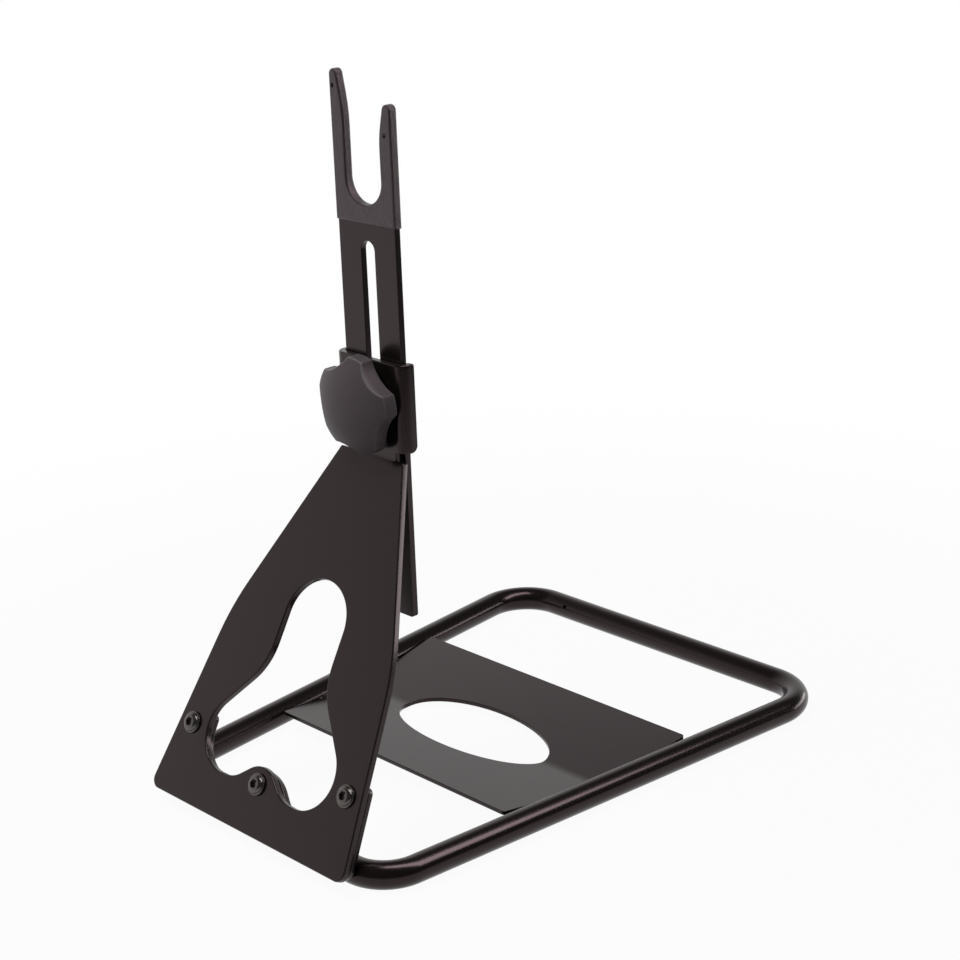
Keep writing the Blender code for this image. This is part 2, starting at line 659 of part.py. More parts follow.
def make_fork_coating(carriage):
    """A soft skin round the fork, open at its foot where the arm comes out."""
    outside = ARM_THICKNESS + 2 * (COATING_WALL + COATING_GAP)
    inside = ARM_THICKNESS + 2 * COATING_GAP
    skin = add_part("fork_coating", flat_mesh("fork_coating", [belt(fork_circles(COATING_BOTTOM))], outside),
                    BLACK_VINYL)
    skin.parent = carriage
    round_over = skin.modifiers.new("soft_edges", "BEVEL")
    round_over.width = COATING_EDGE
    round_over.segments = 2
    round_over.limit_method = "ANGLE"
    round_over.angle_limit = math.radians(60)
    hollow_outline = belt(grown(fork_circles(COATING_BOTTOM - OVERRUN), -COATING_WALL))
    hollow = add_cutter("coating_hollow", flat_mesh("coating_hollow", [hollow_outline], inside))
    hollow.parent = carriage
    combine(skin, hollow, "DIFFERENCE")
    for number, (x, z) in enumerate(HANGING_HOLES):
        bore = prism_mesh("hanging_bore", HANGING_HOLE_RADIUS, -outside, outside, 12)
        bore.transform(Matrix.Translation((x, z, 0.0)))
        cutter = add_cutter("hanging_bore_%d" % number, bore)
        cutter.parent = carriage
        combine(skin, cutter, "DIFFERENCE")
    smooth(skin)


def make_clamp_bolt():
    """Coach bolt: a domed head behind the arm, a square neck in the slot, and a round shank."""
    head_y = ARM_BACK_Y + GAP
    knob_back_y = NECK_Y - 2 * GAP - WASHER_THICKNESS
    reach = head_y - knob_back_y + BOLT_REACH_IN_KNOB
    profile = [
        (0.0, reach), (BOLT_RADIUS - BOLT_CHAMFER, reach), (BOLT_RADIUS, reach - BOLT_CHAMFER),
        (BOLT_RADIUS, 0.0), (BOLT_HEAD_RADIUS, 0.0)]
    profile += [(BOLT_HEAD_RADIUS * math.cos(a), -BOLT_HEAD_RIM - BOLT_HEAD_DOME * math.sin(a))
                for a in [math.radians(18 * i) for i in range(5)]]
    profile += [(0.0, -BOLT_HEAD_RIM - BOLT_HEAD_DOME)]
    bolt = add_part("clamp_bolt", turned_mesh("clamp_bolt", profile, 40), ZINC)
    bolt.matrix_world = facing_front(head_y, z=CLAMP_Z)
    corner_radius = BOLT_RADIUS * math.sqrt(2)
    neck = prism_mesh("square_neck", corner_radius, -BOLT_HEAD_RIM, BOLT_NECK_LENGTH, 4, math.pi / 4)
    combine(bolt, add_cutter("square_neck", neck, facing_front(head_y, z=CLAMP_Z)), "UNION")
    smooth(bolt)


def knob_profile():
    """Half section of the knob: a domed face, a straight wall and a flat back."""
    face = BOSS_HEIGHT + KNOB_WALL
    sphere_radius = (KNOB_RADIUS ** 2 + KNOB_DOME ** 2) / (2 * KNOB_DOME)
    edge = math.asin(KNOB_RADIUS / sphere_radius)
    centre = face + KNOB_DOME - sphere_radius
    profile = [(0.0, face + KNOB_DOME)]
    for a in [edge * share for share in (0.15, 0.3, 0.45, 0.6, 0.75, 0.88, 0.97)]:
        profile.append((sphere_radius * math.sin(a), centre + sphere_radius * math.cos(a)))
    profile += [
        (KNOB_RADIUS, face - KNOB_RIM_RADIUS / 2), (KNOB_RADIUS, BOSS_HEIGHT + KNOB_RIM_RADIUS),
        (KNOB_RADIUS - KNOB_RIM_RADIUS, BOSS_HEIGHT),
        (BOSS_RADIUS, BOSS_HEIGHT), (BOSS_RADIUS, 0.0), (0.0, 0.0)]
    return profile


def make_knob(pivot):
    """Star knob with five lobes and a boss on its back, and the threaded insert moulded into it."""
    knob = add_part("knob_body", turned_mesh("knob_body", knob_profile(), 60), BLACK_PLASTIC)
    knob.parent = pivot
    full_depth = BOSS_HEIGHT + KNOB_WALL + KNOB_DOME
    for number in range(KNOB_LOBES):
        angle = KNOB_FIRST_HOLLOW + math.tau * number / KNOB_LOBES
        distance = HOLLOW_FLOOR + HOLLOW_RADIUS
        hollow = prism_mesh("hollow", HOLLOW_RADIUS, 0.0, full_depth, 96)
        place = (distance * math.cos(angle), distance * math.sin(angle), 0.0)
        hollow.transform(Matrix.Translation(place))
        cutter = add_cutter("hollow_%d" % number, hollow)
        cutter.parent = pivot
        combine(knob, cutter, "DIFFERENCE")
    pocket_floor = INSERT_LENGTH + GAP
    pocket = flat_mesh_between("insert_pocket", [hexagon(INSERT_ACROSS_FLATS)], -OVERRUN, pocket_floor)
    bore = prism_mesh("shank_pocket", BOLT_RADIUS + GAP, -OVERRUN, SHANK_POCKET_DEPTH, 32)
    for name, mesh in (("insert_pocket", pocket), ("shank_pocket", bore)):
        cutter = add_cutter(name, mesh)
        cutter.parent = pivot
        combine(knob, cutter, "DIFFERENCE")
    smooth(knob, 25)

    outlines = [hexagon(INSERT_ACROSS_FLATS - 2 * GAP), circle(0, 0, BOLT_RADIUS + GAP, 32)]
    insert = add_part("knob_insert", flat_mesh_between("knob_insert", outlines, 0.0, INSERT_LENGTH), BRASS)
    insert.parent = pivot
    smooth(insert)


def make_knob_washer():
    """Flat washer between the knob and the neck."""
    mesh = ring_mesh("knob_washer", WASHER_RADIUS, BOLT_RADIUS + GAP, GAP, GAP + WASHER_THICKNESS)
    washer = add_part("knob_washer", mesh, ZINC)
    washer.matrix_world = facing_front(NECK_Y, z=CLAMP_Z)
    smooth(washer)


def button_screw_mesh():
    """Flanged button-head screw, its head above zero and its shank below."""
    across = BUTTON_RADIUS - CROWN_RADIUS
    rise = BUTTON_HEIGHT - BUTTON_SHOULDER_HEIGHT
    profile = [(0.0, BUTTON_HEIGHT), (CROWN_RADIUS, BUTTON_HEIGHT)]
    profile += [(CROWN_RADIUS + across * math.sin(a), BUTTON_SHOULDER_HEIGHT + rise * math.cos(a))
                for a in (math.radians(30), math.radians(55), math.radians(90))]
    profile += [
        (FLANGE_RADIUS - FLANGE_CHAMFER, FLANGE_HEIGHT), (FLANGE_RADIUS, FLANGE_HEIGHT - FLANGE_CHAMFER),
        (FLANGE_RADIUS, 0.0), (SHANK_RADIUS, 0.0), (SHANK_RADIUS, SCREW_CHAMFER - SCREW_LENGTH),
        (SHANK_RADIUS - SCREW_CHAMFER, -SCREW_LENGTH), (0.0, -SCREW_LENGTH)]
    return turned_mesh("plate_screw", profile, 32)


def make_plate_fasteners():
    """Three screws through plate and bracket, each with a washer and a nut behind."""
    screw_mesh = button_screw_mesh()
    socket_floor = BUTTON_HEIGHT - SOCKET_DEPTH
    socket = flat_mesh_between("socket", [hexagon(SOCKET_ACROSS_FLATS)], socket_floor, BUTTON_HEIGHT + OVERRUN)
    washer_top = BRACKET_BACK - GAP
    washer_bottom = washer_top - SMALL_WASHER_THICKNESS
    nut_top = washer_bottom - GAP
    nut_bottom = nut_top - NUT_HEIGHT
    for place, (u, v) in SCREW_PLACES.items():
        at_screw = ON_PLATE @ Matrix.Translation((u, v, 0.0))
        seated = at_screw @ Matrix.Translation((0.0, 0.0, GAP))
        screw = add_part("plate_screw_" + place, screw_mesh.copy(), BLACK_OXIDE)
        screw.matrix_world = seated
        combine(screw, add_cutter("socket_" + place, socket, seated), "DIFFERENCE")
        smooth(screw)
        washer_mesh = ring_mesh("plate_washer_" + place, SMALL_WASHER_RADIUS, NUT_BORE_RADIUS,
                                washer_bottom, washer_top, 32)
        washer = add_part("plate_washer_" + place, washer_mesh, BLACK_OXIDE)
        washer.matrix_world = at_screw
        smooth(washer)
        outlines = [hexagon(NUT_ACROSS_FLATS), circle(0, 0, NUT_BORE_RADIUS, 24)]
        nut_mesh = flat_mesh_between("plate_nut_" + place, outlines, nut_bottom, nut_top)
        nut = add_part("plate_nut_" + place, nut_mesh, BLACK_OXIDE)
        nut.matrix_world = at_screw
        smooth(nut)


def pivot_at(name, place):
    """An empty on a joint's axis, which carries the pieces that move about it."""
    pivot = bpy.data.objects.new(name, None)
    pivot.matrix_world = place
    STAND.objects.link(pivot)
    return pivot


make_base_tube()
make_cross_plate()
make_cross_welds()
make_rear_bracket()
make_bracket_weld()
make_front_plate()
make_plate_fasteners()
carriage_pivot = pivot_at("arm_carriage", facing_front(ARM_MIDDLE_Y))
make_sliding_arm(carriage_pivot)
make_fork_coating(carriage_pivot)
make_clamp_bolt()
make_knob_washer()
knob_pivot = pivot_at("knob_axis", facing_front(NECK_Y - 2 * GAP - WASHER_THICKNESS, z=CLAMP_Z))
make_knob(knob_pivot)
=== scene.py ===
import json
import math

import bmesh
import bpy
from mathutils import Matrix, Vector


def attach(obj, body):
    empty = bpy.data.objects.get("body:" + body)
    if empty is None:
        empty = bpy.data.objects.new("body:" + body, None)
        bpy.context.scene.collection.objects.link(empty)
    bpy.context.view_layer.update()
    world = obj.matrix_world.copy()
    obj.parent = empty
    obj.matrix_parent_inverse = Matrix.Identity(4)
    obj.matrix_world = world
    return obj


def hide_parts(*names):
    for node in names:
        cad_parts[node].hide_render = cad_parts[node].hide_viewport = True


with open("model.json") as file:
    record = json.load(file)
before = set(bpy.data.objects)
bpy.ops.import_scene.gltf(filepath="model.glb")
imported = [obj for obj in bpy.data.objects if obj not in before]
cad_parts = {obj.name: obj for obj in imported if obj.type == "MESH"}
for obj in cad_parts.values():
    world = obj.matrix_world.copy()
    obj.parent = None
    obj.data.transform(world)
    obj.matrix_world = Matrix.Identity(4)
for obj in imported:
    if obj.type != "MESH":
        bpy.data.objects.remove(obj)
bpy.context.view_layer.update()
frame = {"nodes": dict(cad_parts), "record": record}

# The bike parking stand, dressed: each steel sheet gets its rounded rims, the tube its round
# bends, the welds their ripples, the screws their sockets, and every surface its finish.
# Metres. X runs along the parked wheel, -Y is the front and +Z is up.

# Base tube
DEPTH = 0.3681
TUBE_RADIUS = 0.008
TUBE_WALL = 0.0015
BACK_HALF_WIDTH = 0.132
SPLAY = 0.1007
FRONT_BEND_RADIUS = 0.025
BACK_BEND_RADIUS = 0.030
FRONT_Y = -DEPTH / 2
BACK_RUN_Y = DEPTH / 2 - TUBE_RADIUS
VENT_RADIUS = 0.0015
VENT_BORE_RADIUS = 0.0010
VENT_SINK = 0.0006
VENT_LIP = 0.0001
VENT_X = -0.0823
VENT_LEAN = math.radians(65)

# Cross plate, a shallow trough with its crease across the middle
CROSS_THICKNESS = 0.0025
CROSS_FRONT_Y = -0.0725
CROSS_BACK_Y = 0.0690
CROSS_MIDDLE_Y = (CROSS_FRONT_Y + CROSS_BACK_Y) / 2
CROSS_EDGE_TOP = 0.0135
CROSS_CREASE_TOP = 0.0048
CROSS_CREASE_RADIUS = 0.028
CROSS_CREASE_STEP = 0.0007
CROSS_CREASE_STEPS = 6
CROSS_INSET = 0.0092
CROSS_CORNER_RADIUS = 0.002
OVAL_HALF_LENGTH = 0.060
OVAL_HALF_WIDTH = 0.028

# Front plate, in its own plane: u across, v up the slope from the foot
GAP = 0.0003
PLATE_THICKNESS = 0.0045
BRACKET_THICKNESS = 0.0039
LEAN = math.radians(29.77)
FOOT_HEIGHT = 0.0101
FOOT_HALF_WIDTH = 0.0864
FOOT_RADIUS = 0.006
WAIST_V = 0.1160
WAIST_HALF_WIDTH = 0.0704
WAIST_RADIUS = 0.150
SHOULDER_V = 0.2255
SHOULDER_HALF_WIDTH = 0.0263
SHOULDER_RADIUS = 0.001
SCREW_PLACES = {"left": (-0.0684, 0.0442), "middle": (0.0, 0.0284), "right": (0.0684, 0.0442)}
SCREW_CLEARANCE_RADIUS = 0.0033

# Circles that shape the window, each as u, v and radius
WINDOW_HEAD = (0.0, 0.1254, 0.0246)
WINDOW_WAIST = (0.0648, 0.1070, 0.0400)
WINDOW_LOBE = (0.0326, 0.0479, 0.0225)
WINDOW_LOBE_FOOT = (0.0290, 0.0455, 0.0200)
WINDOW_BUMP = (0.0, 0.0226, 0.0160)

# Rear bracket, with such circles for its own notch
BRACKET_FOOT_V = 0.0015
BRACKET_TOP_V = 0.0525
BRACKET_LOBE = (0.0350, 0.0450, 0.0213)
BRACKET_LOBE_FOOT = (0.0275, 0.0333, 0.0096)
BRACKET_BUMP = (0.0, 0.0127, 0.0242)
BRACKET_INSET = 0.0006
BRACKET_FOOT_RADIUS = 0.006
BRACKET_SHOULDER_RADIUS = 0.004
BRACKET_TIP_RADIUS = 0.003
BRACKET_TIP_U = 0.0595

# Neck and guide channel
NECK_BEND_RADIUS = 0.004
NECK_HALF_WIDTH = 0.0205
NECK_LENGTH = 0.016
CHANNEL_HALF_WIDTH = 0.0280
CHANNEL_DEPTH = 0.0103
CHANNEL_BOTTOM = 0.2105
CHANNEL_TOP = 0.2620
CHANNEL_OUTER_RADIUS = 0.0065
CHANNEL_INNER_RADIUS = 0.0005
CHANNEL_KEPT_HALF_WIDTH = 0.015
CHANNEL_FOOT_RADIUS = 0.004
CHANNEL_HEAD_RADIUS = 0.0015

# Sliding arm and fork
ARM_THICKNESS = 0.004
ARM_HALF_WIDTH = 0.0232
ARM_BOTTOM = 0.1098
ARM_CORNER_RADIUS = 0.002
SLOT_HALF_WIDTH = 0.0055
SLOT_BOTTOM = 0.1350
SLOT_TOP = 0.3280
COATING_WALL = 0.00065
COATING_GAP = 0.0002
COATING_RIM = 0.0012
COATING_BOTTOM = 0.3375
COATING_OVERCUT = 0.005
COATING_HALF_WIDTH = ARM_HALF_WIDTH + COATING_WALL + COATING_GAP
HANGING_HOLES = ((-0.0212, 0.4113), (0.0190, 0.3878))
HANGING_HOLE_RADIUS = 0.0013

# Circles that shape the fork, each as x, z, radius, and 1 where the outline turns left or -1 where right
FORK_RIGHT_TIP = (COATING_HALF_WIDTH - 0.0033, 0.4012, 0.0033, 1)
FORK_RIGHT_INNER = (0.0741, 0.3800, 0.0600, 1)
FORK_CROTCH = (0.0, 0.3623, 0.0142, -1)
FORK_LEFT_INNER = (-0.1041, 0.3900, 0.0900, 1)
FORK_LEFT_TIP = (0.0031 - COATING_HALF_WIDTH, 0.4173, 0.0031, 1)

# Clamp
CLAMP_Z = 0.2372
BOLT_RADIUS = 0.005
BOLT_HEAD_RADIUS = 0.012
BOLT_HEAD_RIM = 0.0006
BOLT_HEAD_DOME = 0.005
BOLT_NECK_LENGTH = 0.0036
BOLT_THREAD_START = 0.0055
BOLT_PITCH = 0.0015
BOLT_REACH_IN_KNOB = 0.0135
CLAMP_HOLE_RADIUS = 0.0053
WASHER_RADIUS = 0.0105
WASHER_THICKNESS = 0.0016
KNOB_RADIUS = 0.0286
KNOB_WALL = 0.0082
KNOB_DOME = 0.0084
KNOB_DOME_STEP = 0.0022
KNOB_DOME_STEPS = 12
KNOB_RIM = 0.0008
KNOB_CORNER_RADIUS = 0.0009
KNOB_LOBES = 5
KNOB_FIRST_HOLLOW = math.radians(45.3)
HOLLOW_RADIUS = 0.0270
HOLLOW_FLOOR = 0.0234
BOSS_RADIUS = 0.0125
BOSS_HEIGHT = 0.0023
BOSS_HOLE_RADIUS = 0.0088

# Plate screws, M6
SHANK_RADIUS = 0.003
SCREW_LENGTH = 0.0145
SCREW_THREAD_START = 0.004
SCREW_PITCH = 0.001
FLANGE_RADIUS = 0.0065
FLANGE_HEIGHT = 0.0010
FLANGE_FILLET = 0.0002
FLANGE_SOFT = 0.0003
FLANGE_BREAK = 0.0001
BUTTON_RADIUS = 0.0055
BUTTON_HEIGHT = 0.0030
BUTTON_SHOULDER_HEIGHT = 0.0012
CROWN_RADIUS = 0.0032
SOCKET_ACROSS_FLATS = 0.0048
SOCKET_DEPTH = 0.0020
SOCKET_CUT_TOP = 0.008
SMALL_WASHER_RADIUS = 0.006
SMALL_WASHER_THICKNESS = 0.0008
NUT_ACROSS_FLATS = 0.010
NUT_HEIGHT = 0.0032
NUT_BORE_RADIUS = 0.0033
NUT_RIM = 0.00015
NUT_CHAMFER = math.radians(30)
NUT_CHAMFER_MARGIN = 0.0004

# Threads, as shares of their pitch
THREAD_DEPTH = 0.55
THREAD_FLAT = 0.12
THREAD_TIP = 0.6

# Welds
WELD_GAP = 0.0003
BRACKET_BEAD_RADIUS = 0.0018
BRACKET_BEAD_HALF_LENGTH = 0.060
CROSS_BEAD_RADIUS = 0.0013
CROSS_BEAD_DROP = 0.0008
CROSS_BEAD_START = 0.0008
CROSS_BEAD_HALF_LENGTH = 0.038
BRACKET_BEAD_FULLNESS = 1.10
RIPPLE = 0.0016
RIPPLE_STEPS = 6
RIPPLE_SWELL = 0.06
RIPPLE_SINK = 0.05
BEAD_END_SHARE = 0.45

# Slow changes of a bead's thickness: size, rate and start
BEAD_WANDER = ((0.05, 23.0, 0.0), (0.03, 71.0, 1.0))

# How far rims are rounded: of plate and bracket, of arm, cross plate and boss, and of washers
RIM = 0.0008
THIN_RIM = 0.0004
FINE_RIM = 0.0002

# Points closer than this are one point, and a plane this close to a point passes through it
MERGE_DISTANCE = 1e-6
HAIR = 1e-7

# Slack in counts and angles, for rounding errors
SLACK = 1e-6

# The black surfaces shine slightly warm
WARM_SHEEN = (1.0, 0.72, 0.76, 1.0)

# Studio: directions from the stand, and how nearly a direction has to match them to be darker
FLOOR_RADIUS = 0.80
FLOOR_FADE_START = 0.26
FLOOR_WHITE = 0.95
ROOM_LIGHT = (0.12, 0.12, 0.12, 1.0)
ROOM_WHITE = (1.0, 1.0, 1.0, 1.0)
ROOM_DARK = (0.08, 0.08, 0.08, 1.0)
DARK_SIDE = (0.60, -0.20, 0.78)
DARK_SIDE_FROM = -0.15
DARK_SIDE_FULL = 0.35
PAPER_END = (0.62, 0.60, -0.50)
PAPER_END_FROM = 0.80
PAPER_END_FULL = 0.97

# Lamps: place, direction of the long side, length, width and power in watts
OVERHEAD = ((0.45, 0.22, 1.05), (0.80, 0.60, 0.0), 1.40, 0.40, 14.0)
LOW_BACK = ((0.65, 1.54, 0.22), (0.94, -0.34, 0.0), 1.30, 0.30, 6.5)
FILL = ((-0.35, -0.85, 1.90), (1.0, 0.0, 0.0), 0.90, 0.90, 36.0)

# Camera, found from the photograph's own lines
CAMERA_PLACE = Vector((0.84646, -0.80003, 0.58218))
CAMERA_AZIMUTH = math.radians(46.18)
CAMERA_ELEVATION = math.radians(19.48)
CAMERA_ROLL = math.radians(-2.06)
CAMERA_LENS = 77.84


class Value:
    """The output of a node, which can be added and multiplied where it is a number."""

    def __init__(self, recipe, socket):
        self.recipe = recipe
        self.socket = socket

    def __add__(self, other):
        return self.recipe.maths("ADD", self, other)

    def __radd__(self, other):
        return self.recipe.maths("ADD", other, self)

    def __mul__(self, other):
        return self.recipe.maths("MULTIPLY", self, other)

    def __rmul__(self, other):
        return self.recipe.maths("MULTIPLY", other, self)


class Recipe:
    """The nodes that make up one finish, or the studio round the stand."""

    def __init__(self, tree):
        self.tree = tree

    def node(self, kind, settings=None, inputs=None, output=0):
        """A node of a kind: its settings are made first, then its sockets are set or linked."""
        node = self.tree.nodes.new(kind)
        for name, value in (settings or {}).items():
            setattr(node, name, value)
        for name, value in (inputs or {}).items():
            self.feed(node.inputs[name], value)
        return Value(self, node.outputs[output])

    def feed(self, socket, value):
        """Link a value to a socket, or write a plain number or colour on it."""
        if isinstance(value, Value):
            self.tree.links.new(value.socket, socket)
        else:
            socket.default_value = value

    def maths(self, operation, first, second):
        """One step of arithmetic on numbers."""
        return self.node("ShaderNodeMath", {"operation": operation}, {0: first, 1: second})

    def stretch(self, value, low, high, soft=False):
        """A number stretched so that low gives 0 and high gives 1."""
        settings = {"clamp": True, "interpolation_type": "SMOOTHSTEP" if soft else "LINEAR"}
        return self.node("ShaderNodeMapRange", settings, {"Value": value, "From Min": low, "From Max": high})

    def blend(self, share, first, second):
        """One colour turning into another."""
        return self.node("ShaderNodeMix", {"data_type": "RGBA"}, {0: share, 6: first, 7: second}, 2)

    def seen(self):
        """1 for what the camera sees, directly, in a reflection or through glass."""
        camera, glossy, clear = (self.node("ShaderNodeLightPath", output=name) for name in (
            "Is Camera Ray", "Is Glossy Ray", "Is Transmission Ray"))
        return self.maths("MAXIMUM", camera, self.maths("MAXIMUM", glossy, clear))


class Finish(Recipe):
    """A material with its Principled shader and the nodes that feed it."""

    def __init__(self, name, colour, roughness, metallic=0.0, gloss=0.5):
        self.material = bpy.data.materials.new(name)
        self.material.use_nodes = True
        super().__init__(self.material.node_tree)
        self.shader = self.tree.nodes["Principled BSDF"]
        self.set("Base Color", (*colour, 1.0))
        self.set("Roughness", roughness)
        self.set("Metallic", metallic)
        self.set("Specular IOR Level", gloss)
        self.material.diffuse_color = (*colour, 1.0)

    def set(self, name, value):
        """Feed one socket of the shader itself."""
        self.feed(self.shader.inputs[name], value)

    def place(self):
        """The place on the stand, in metres."""
        return self.node("ShaderNodeTexCoord", output="Object")

    def grain(self, size, detail=2.0, rough=0.5):
        """Soft noise from 0 to 1 whose bumps are about a given size across."""
        inputs = {"Vector": self.place(), "Scale": 1.0 / size, "Detail": detail, "Roughness": rough}
        return self.node("ShaderNodeTexNoise", inputs=inputs)

    def edge(self):
        """1 on the rounded rims of a piece and 0 elsewhere."""
        settings = {"attribute_type": "GEOMETRY", "attribute_name": "rim"}
        return self.node("ShaderNodeAttribute", settings, output="Fac")

    def bump(self, height, depth):
        """Raise the surface by a height from 0 to 1 times a depth in metres."""
        self.set("Normal", self.node("ShaderNodeBump", inputs={"Height": height, "Distance": depth}))


def powder_coat():
    """Satin black powder coat with a faint orange peel; its rims are painted paler, as a painted highlight.
    """
    finish = Finish("powder_coat", (0.0058, 0.0045, 0.0041), 0.22, gloss=0.36)
    finish.set("Specular Tint", WARM_SHEEN)
    peel = finish.grain(0.0011, 1.5)
    cloud = finish.grain(0.040, 3.0)
    base = finish.blend(cloud, (0.0048, 0.0037, 0.0033, 1.0), (0.0068, 0.0053, 0.0049, 1.0))
    # Painted highlight: the rims are lightened towards pale grey, more where the cloud is high.
    rim_highlight_and_wear = finish.edge() * (0.10 + 0.35 * cloud)
    finish.set("Base Color", finish.blend(rim_highlight_and_wear, base, (0.040, 0.035, 0.036, 1.0)))
    finish.set("Roughness", 0.17 + 0.05 * cloud + 0.04 * peel)
    finish.bump(peel + 0.4 * finish.grain(0.0040, 1.0), 0.000018)
    return finish


def dipped_vinyl():
    """Matt black vinyl from a dip: rough grain, soft waves and a dull sheen."""
    finish = Finish("dipped_vinyl", (0.027, 0.023, 0.027), 0.25, gloss=0.48)
    grain = finish.grain(0.0009, 3.0, 0.7)
    waves = finish.grain(0.0065, 1.0)
    finish.set("Specular Tint", WARM_SHEEN)
    finish.set("Base Color", finish.blend(grain, (0.018, 0.015, 0.018, 1.0), (0.037, 0.031, 0.036, 1.0)))
    finish.set("Roughness", 0.18 + 0.14 * grain)
    finish.bump(grain + 0.8 * waves, 0.00045)
    return finish


def knob_plastic():
    """Matt black moulded plastic with a fine spark-eroded grain and a painted highlight along its rims."""
    finish = Finish("knob_plastic", (0.065, 0.055, 0.058), 0.50, gloss=0.16)
    finish.set("Specular Tint", WARM_SHEEN)
    grain = finish.grain(0.0005, 2.0, 0.6)
    cloud = finish.grain(0.016, 2.0)
    base = finish.blend(cloud, (0.061, 0.051, 0.054, 1.0), (0.069, 0.059, 0.062, 1.0))
    # Painted highlight: the rims are lightened towards grey.
    finish.set("Base Color", finish.blend(finish.edge() * 0.8, base, (0.115, 0.105, 0.108, 1.0)))
    finish.set("Roughness", 0.40 + 0.12 * grain)
    finish.bump(grain, 0.00004)
    return finish


def blackened_steel():
    """Screws and nuts: blackened steel, worn to bare metal here and there on their edges."""
    finish = Finish("blackened_steel", (0.105, 0.094, 0.090), 0.24, 0.90)
    wear = finish.stretch(finish.grain(0.0016, 3.0), 0.48, 0.70)
    base = finish.blend(finish.grain(0.003, 2.0), (0.088, 0.079, 0.075, 1.0), (0.122, 0.110, 0.105, 1.0))
    finish.set("Base Color", finish.blend(finish.edge() * wear * 0.7, base, (0.34, 0.33, 0.32, 1.0)))
    finish.set("Roughness", 0.18 + 0.12 * finish.grain(0.0010, 2.0))
    finish.bump(finish.grain(0.0009, 2.0), 0.00002)
    return finish


def zinc_plate():
    """Bright zinc on the clamp bolt and its washer, with cloudy patches."""
    finish = Finish("zinc_plate", (0.56, 0.57, 0.59), 0.30, 1.0)
    cloud = finish.stretch(finish.grain(0.004, 3.0), 0.35, 0.65)
    finish.set("Base Color", finish.blend(cloud, (0.50, 0.51, 0.52, 1.0), (0.63, 0.63, 0.62, 1.0)))
    finish.set("Roughness", 0.24 + 0.16 * cloud)
    finish.bump(finish.grain(0.0008, 2.0), 0.00002)
    return finish


def insert_brass():
    """Turned brass of the threaded insert."""
    finish = Finish("insert_brass", (0.62, 0.45, 0.19), 0.32, 1.0)
    cloud = finish.grain(0.002, 2.0)
    finish.set("Base Color", finish.blend(cloud, (0.52, 0.37, 0.15, 1.0), (0.68, 0.50, 0.23, 1.0)))
    finish.set("Roughness", 0.26 + 0.14 * cloud)
    return finish


def on_circle(radius, angle):
    """A point on a circle round the middle."""
    return (radius * math.cos(angle), radius * math.sin(angle))


def angle_to(here, there):
    """The direction from one point to another."""
    return math.atan2(there[1] - here[1], there[0] - here[0])


def turn_between(start, end):
    """The shorter way round from one direction to another."""
    return math.remainder(end - start, math.tau)


def arc(centre, radius, start, sweep, step=math.radians(4)):
    """Points along an arc, both ends included."""
    count = max(1, math.ceil(abs(sweep) / step - SLACK))
    angles = [start + sweep * i / count for i in range(count + 1)]
    return [(centre[0] + radius * math.cos(a), centre[1] + radius * math.sin(a)) for a in angles]


def rounded(corners, step=math.radians(7)):
    """A closed outline through corners given as x, y and radius."""
    points = []
    for i, (x, y, radius) in enumerate(corners):
        here = Vector((x, y))
        before = (Vector(corners[i - 1][:2]) - here).normalized()
        after = (Vector(corners[(i + 1) % len(corners)][:2]) - here).normalized()
        if radius == 0:
            points.append((x, y))
            continue
        half = before.angle(after) / 2
        middle = here + (before + after).normalized() * (radius / math.sin(half))
        first = here + before * (radius / math.tan(half)) - middle
        last = here + after * (radius / math.tan(half)) - middle
        start = math.atan2(first.y, first.x)
        points += arc(middle, radius, start, turn_between(start, math.atan2(last.y, last.x)), step)
    return points


def belt(circles, step=math.radians(4)):
    """A closed outline round circles given as x, y, radius and turn, 1 left or -1 right."""
    headings = []
    for i, (x, y, radius, turn) in enumerate(circles):
        next_x, next_y, next_radius, next_turn = circles[(i + 1) % len(circles)]
        across = Vector((next_x - x, next_y - y))
        lift = next_turn * next_radius - turn * radius
        headings.append(math.atan2(across.y, across.x) - math.asin(lift / across.length))
    points = []
    for i, (x, y, radius, turn) in enumerate(circles):
        sweep = (headings[i] - headings[i - 1]) % math.tau
        if turn < 0:
            sweep -= math.tau
        if abs(sweep) > math.tau - SLACK:
            sweep = 0.0
        points += arc((x, y), radius, headings[i - 1] - turn * math.pi / 2, sweep, step)
    return points


def circle(x, y, radius, count=48):
    """A closed round outline."""
    return arc((x, y), radius, 0.0, math.tau * (count - 1) / count, math.tau / count)


def grown(circles, amount):
    """The circles of a belt outline moved outwards by an amount."""
    return [(x, y, radius + turn * amount, turn) for x, y, radius, turn in circles]


def without_doubles(points):
    """An outline without points that lie on top of each other."""
    return [p for i, p in enumerate(points) if math.dist(p, points[i - 1]) > MERGE_DISTANCE]


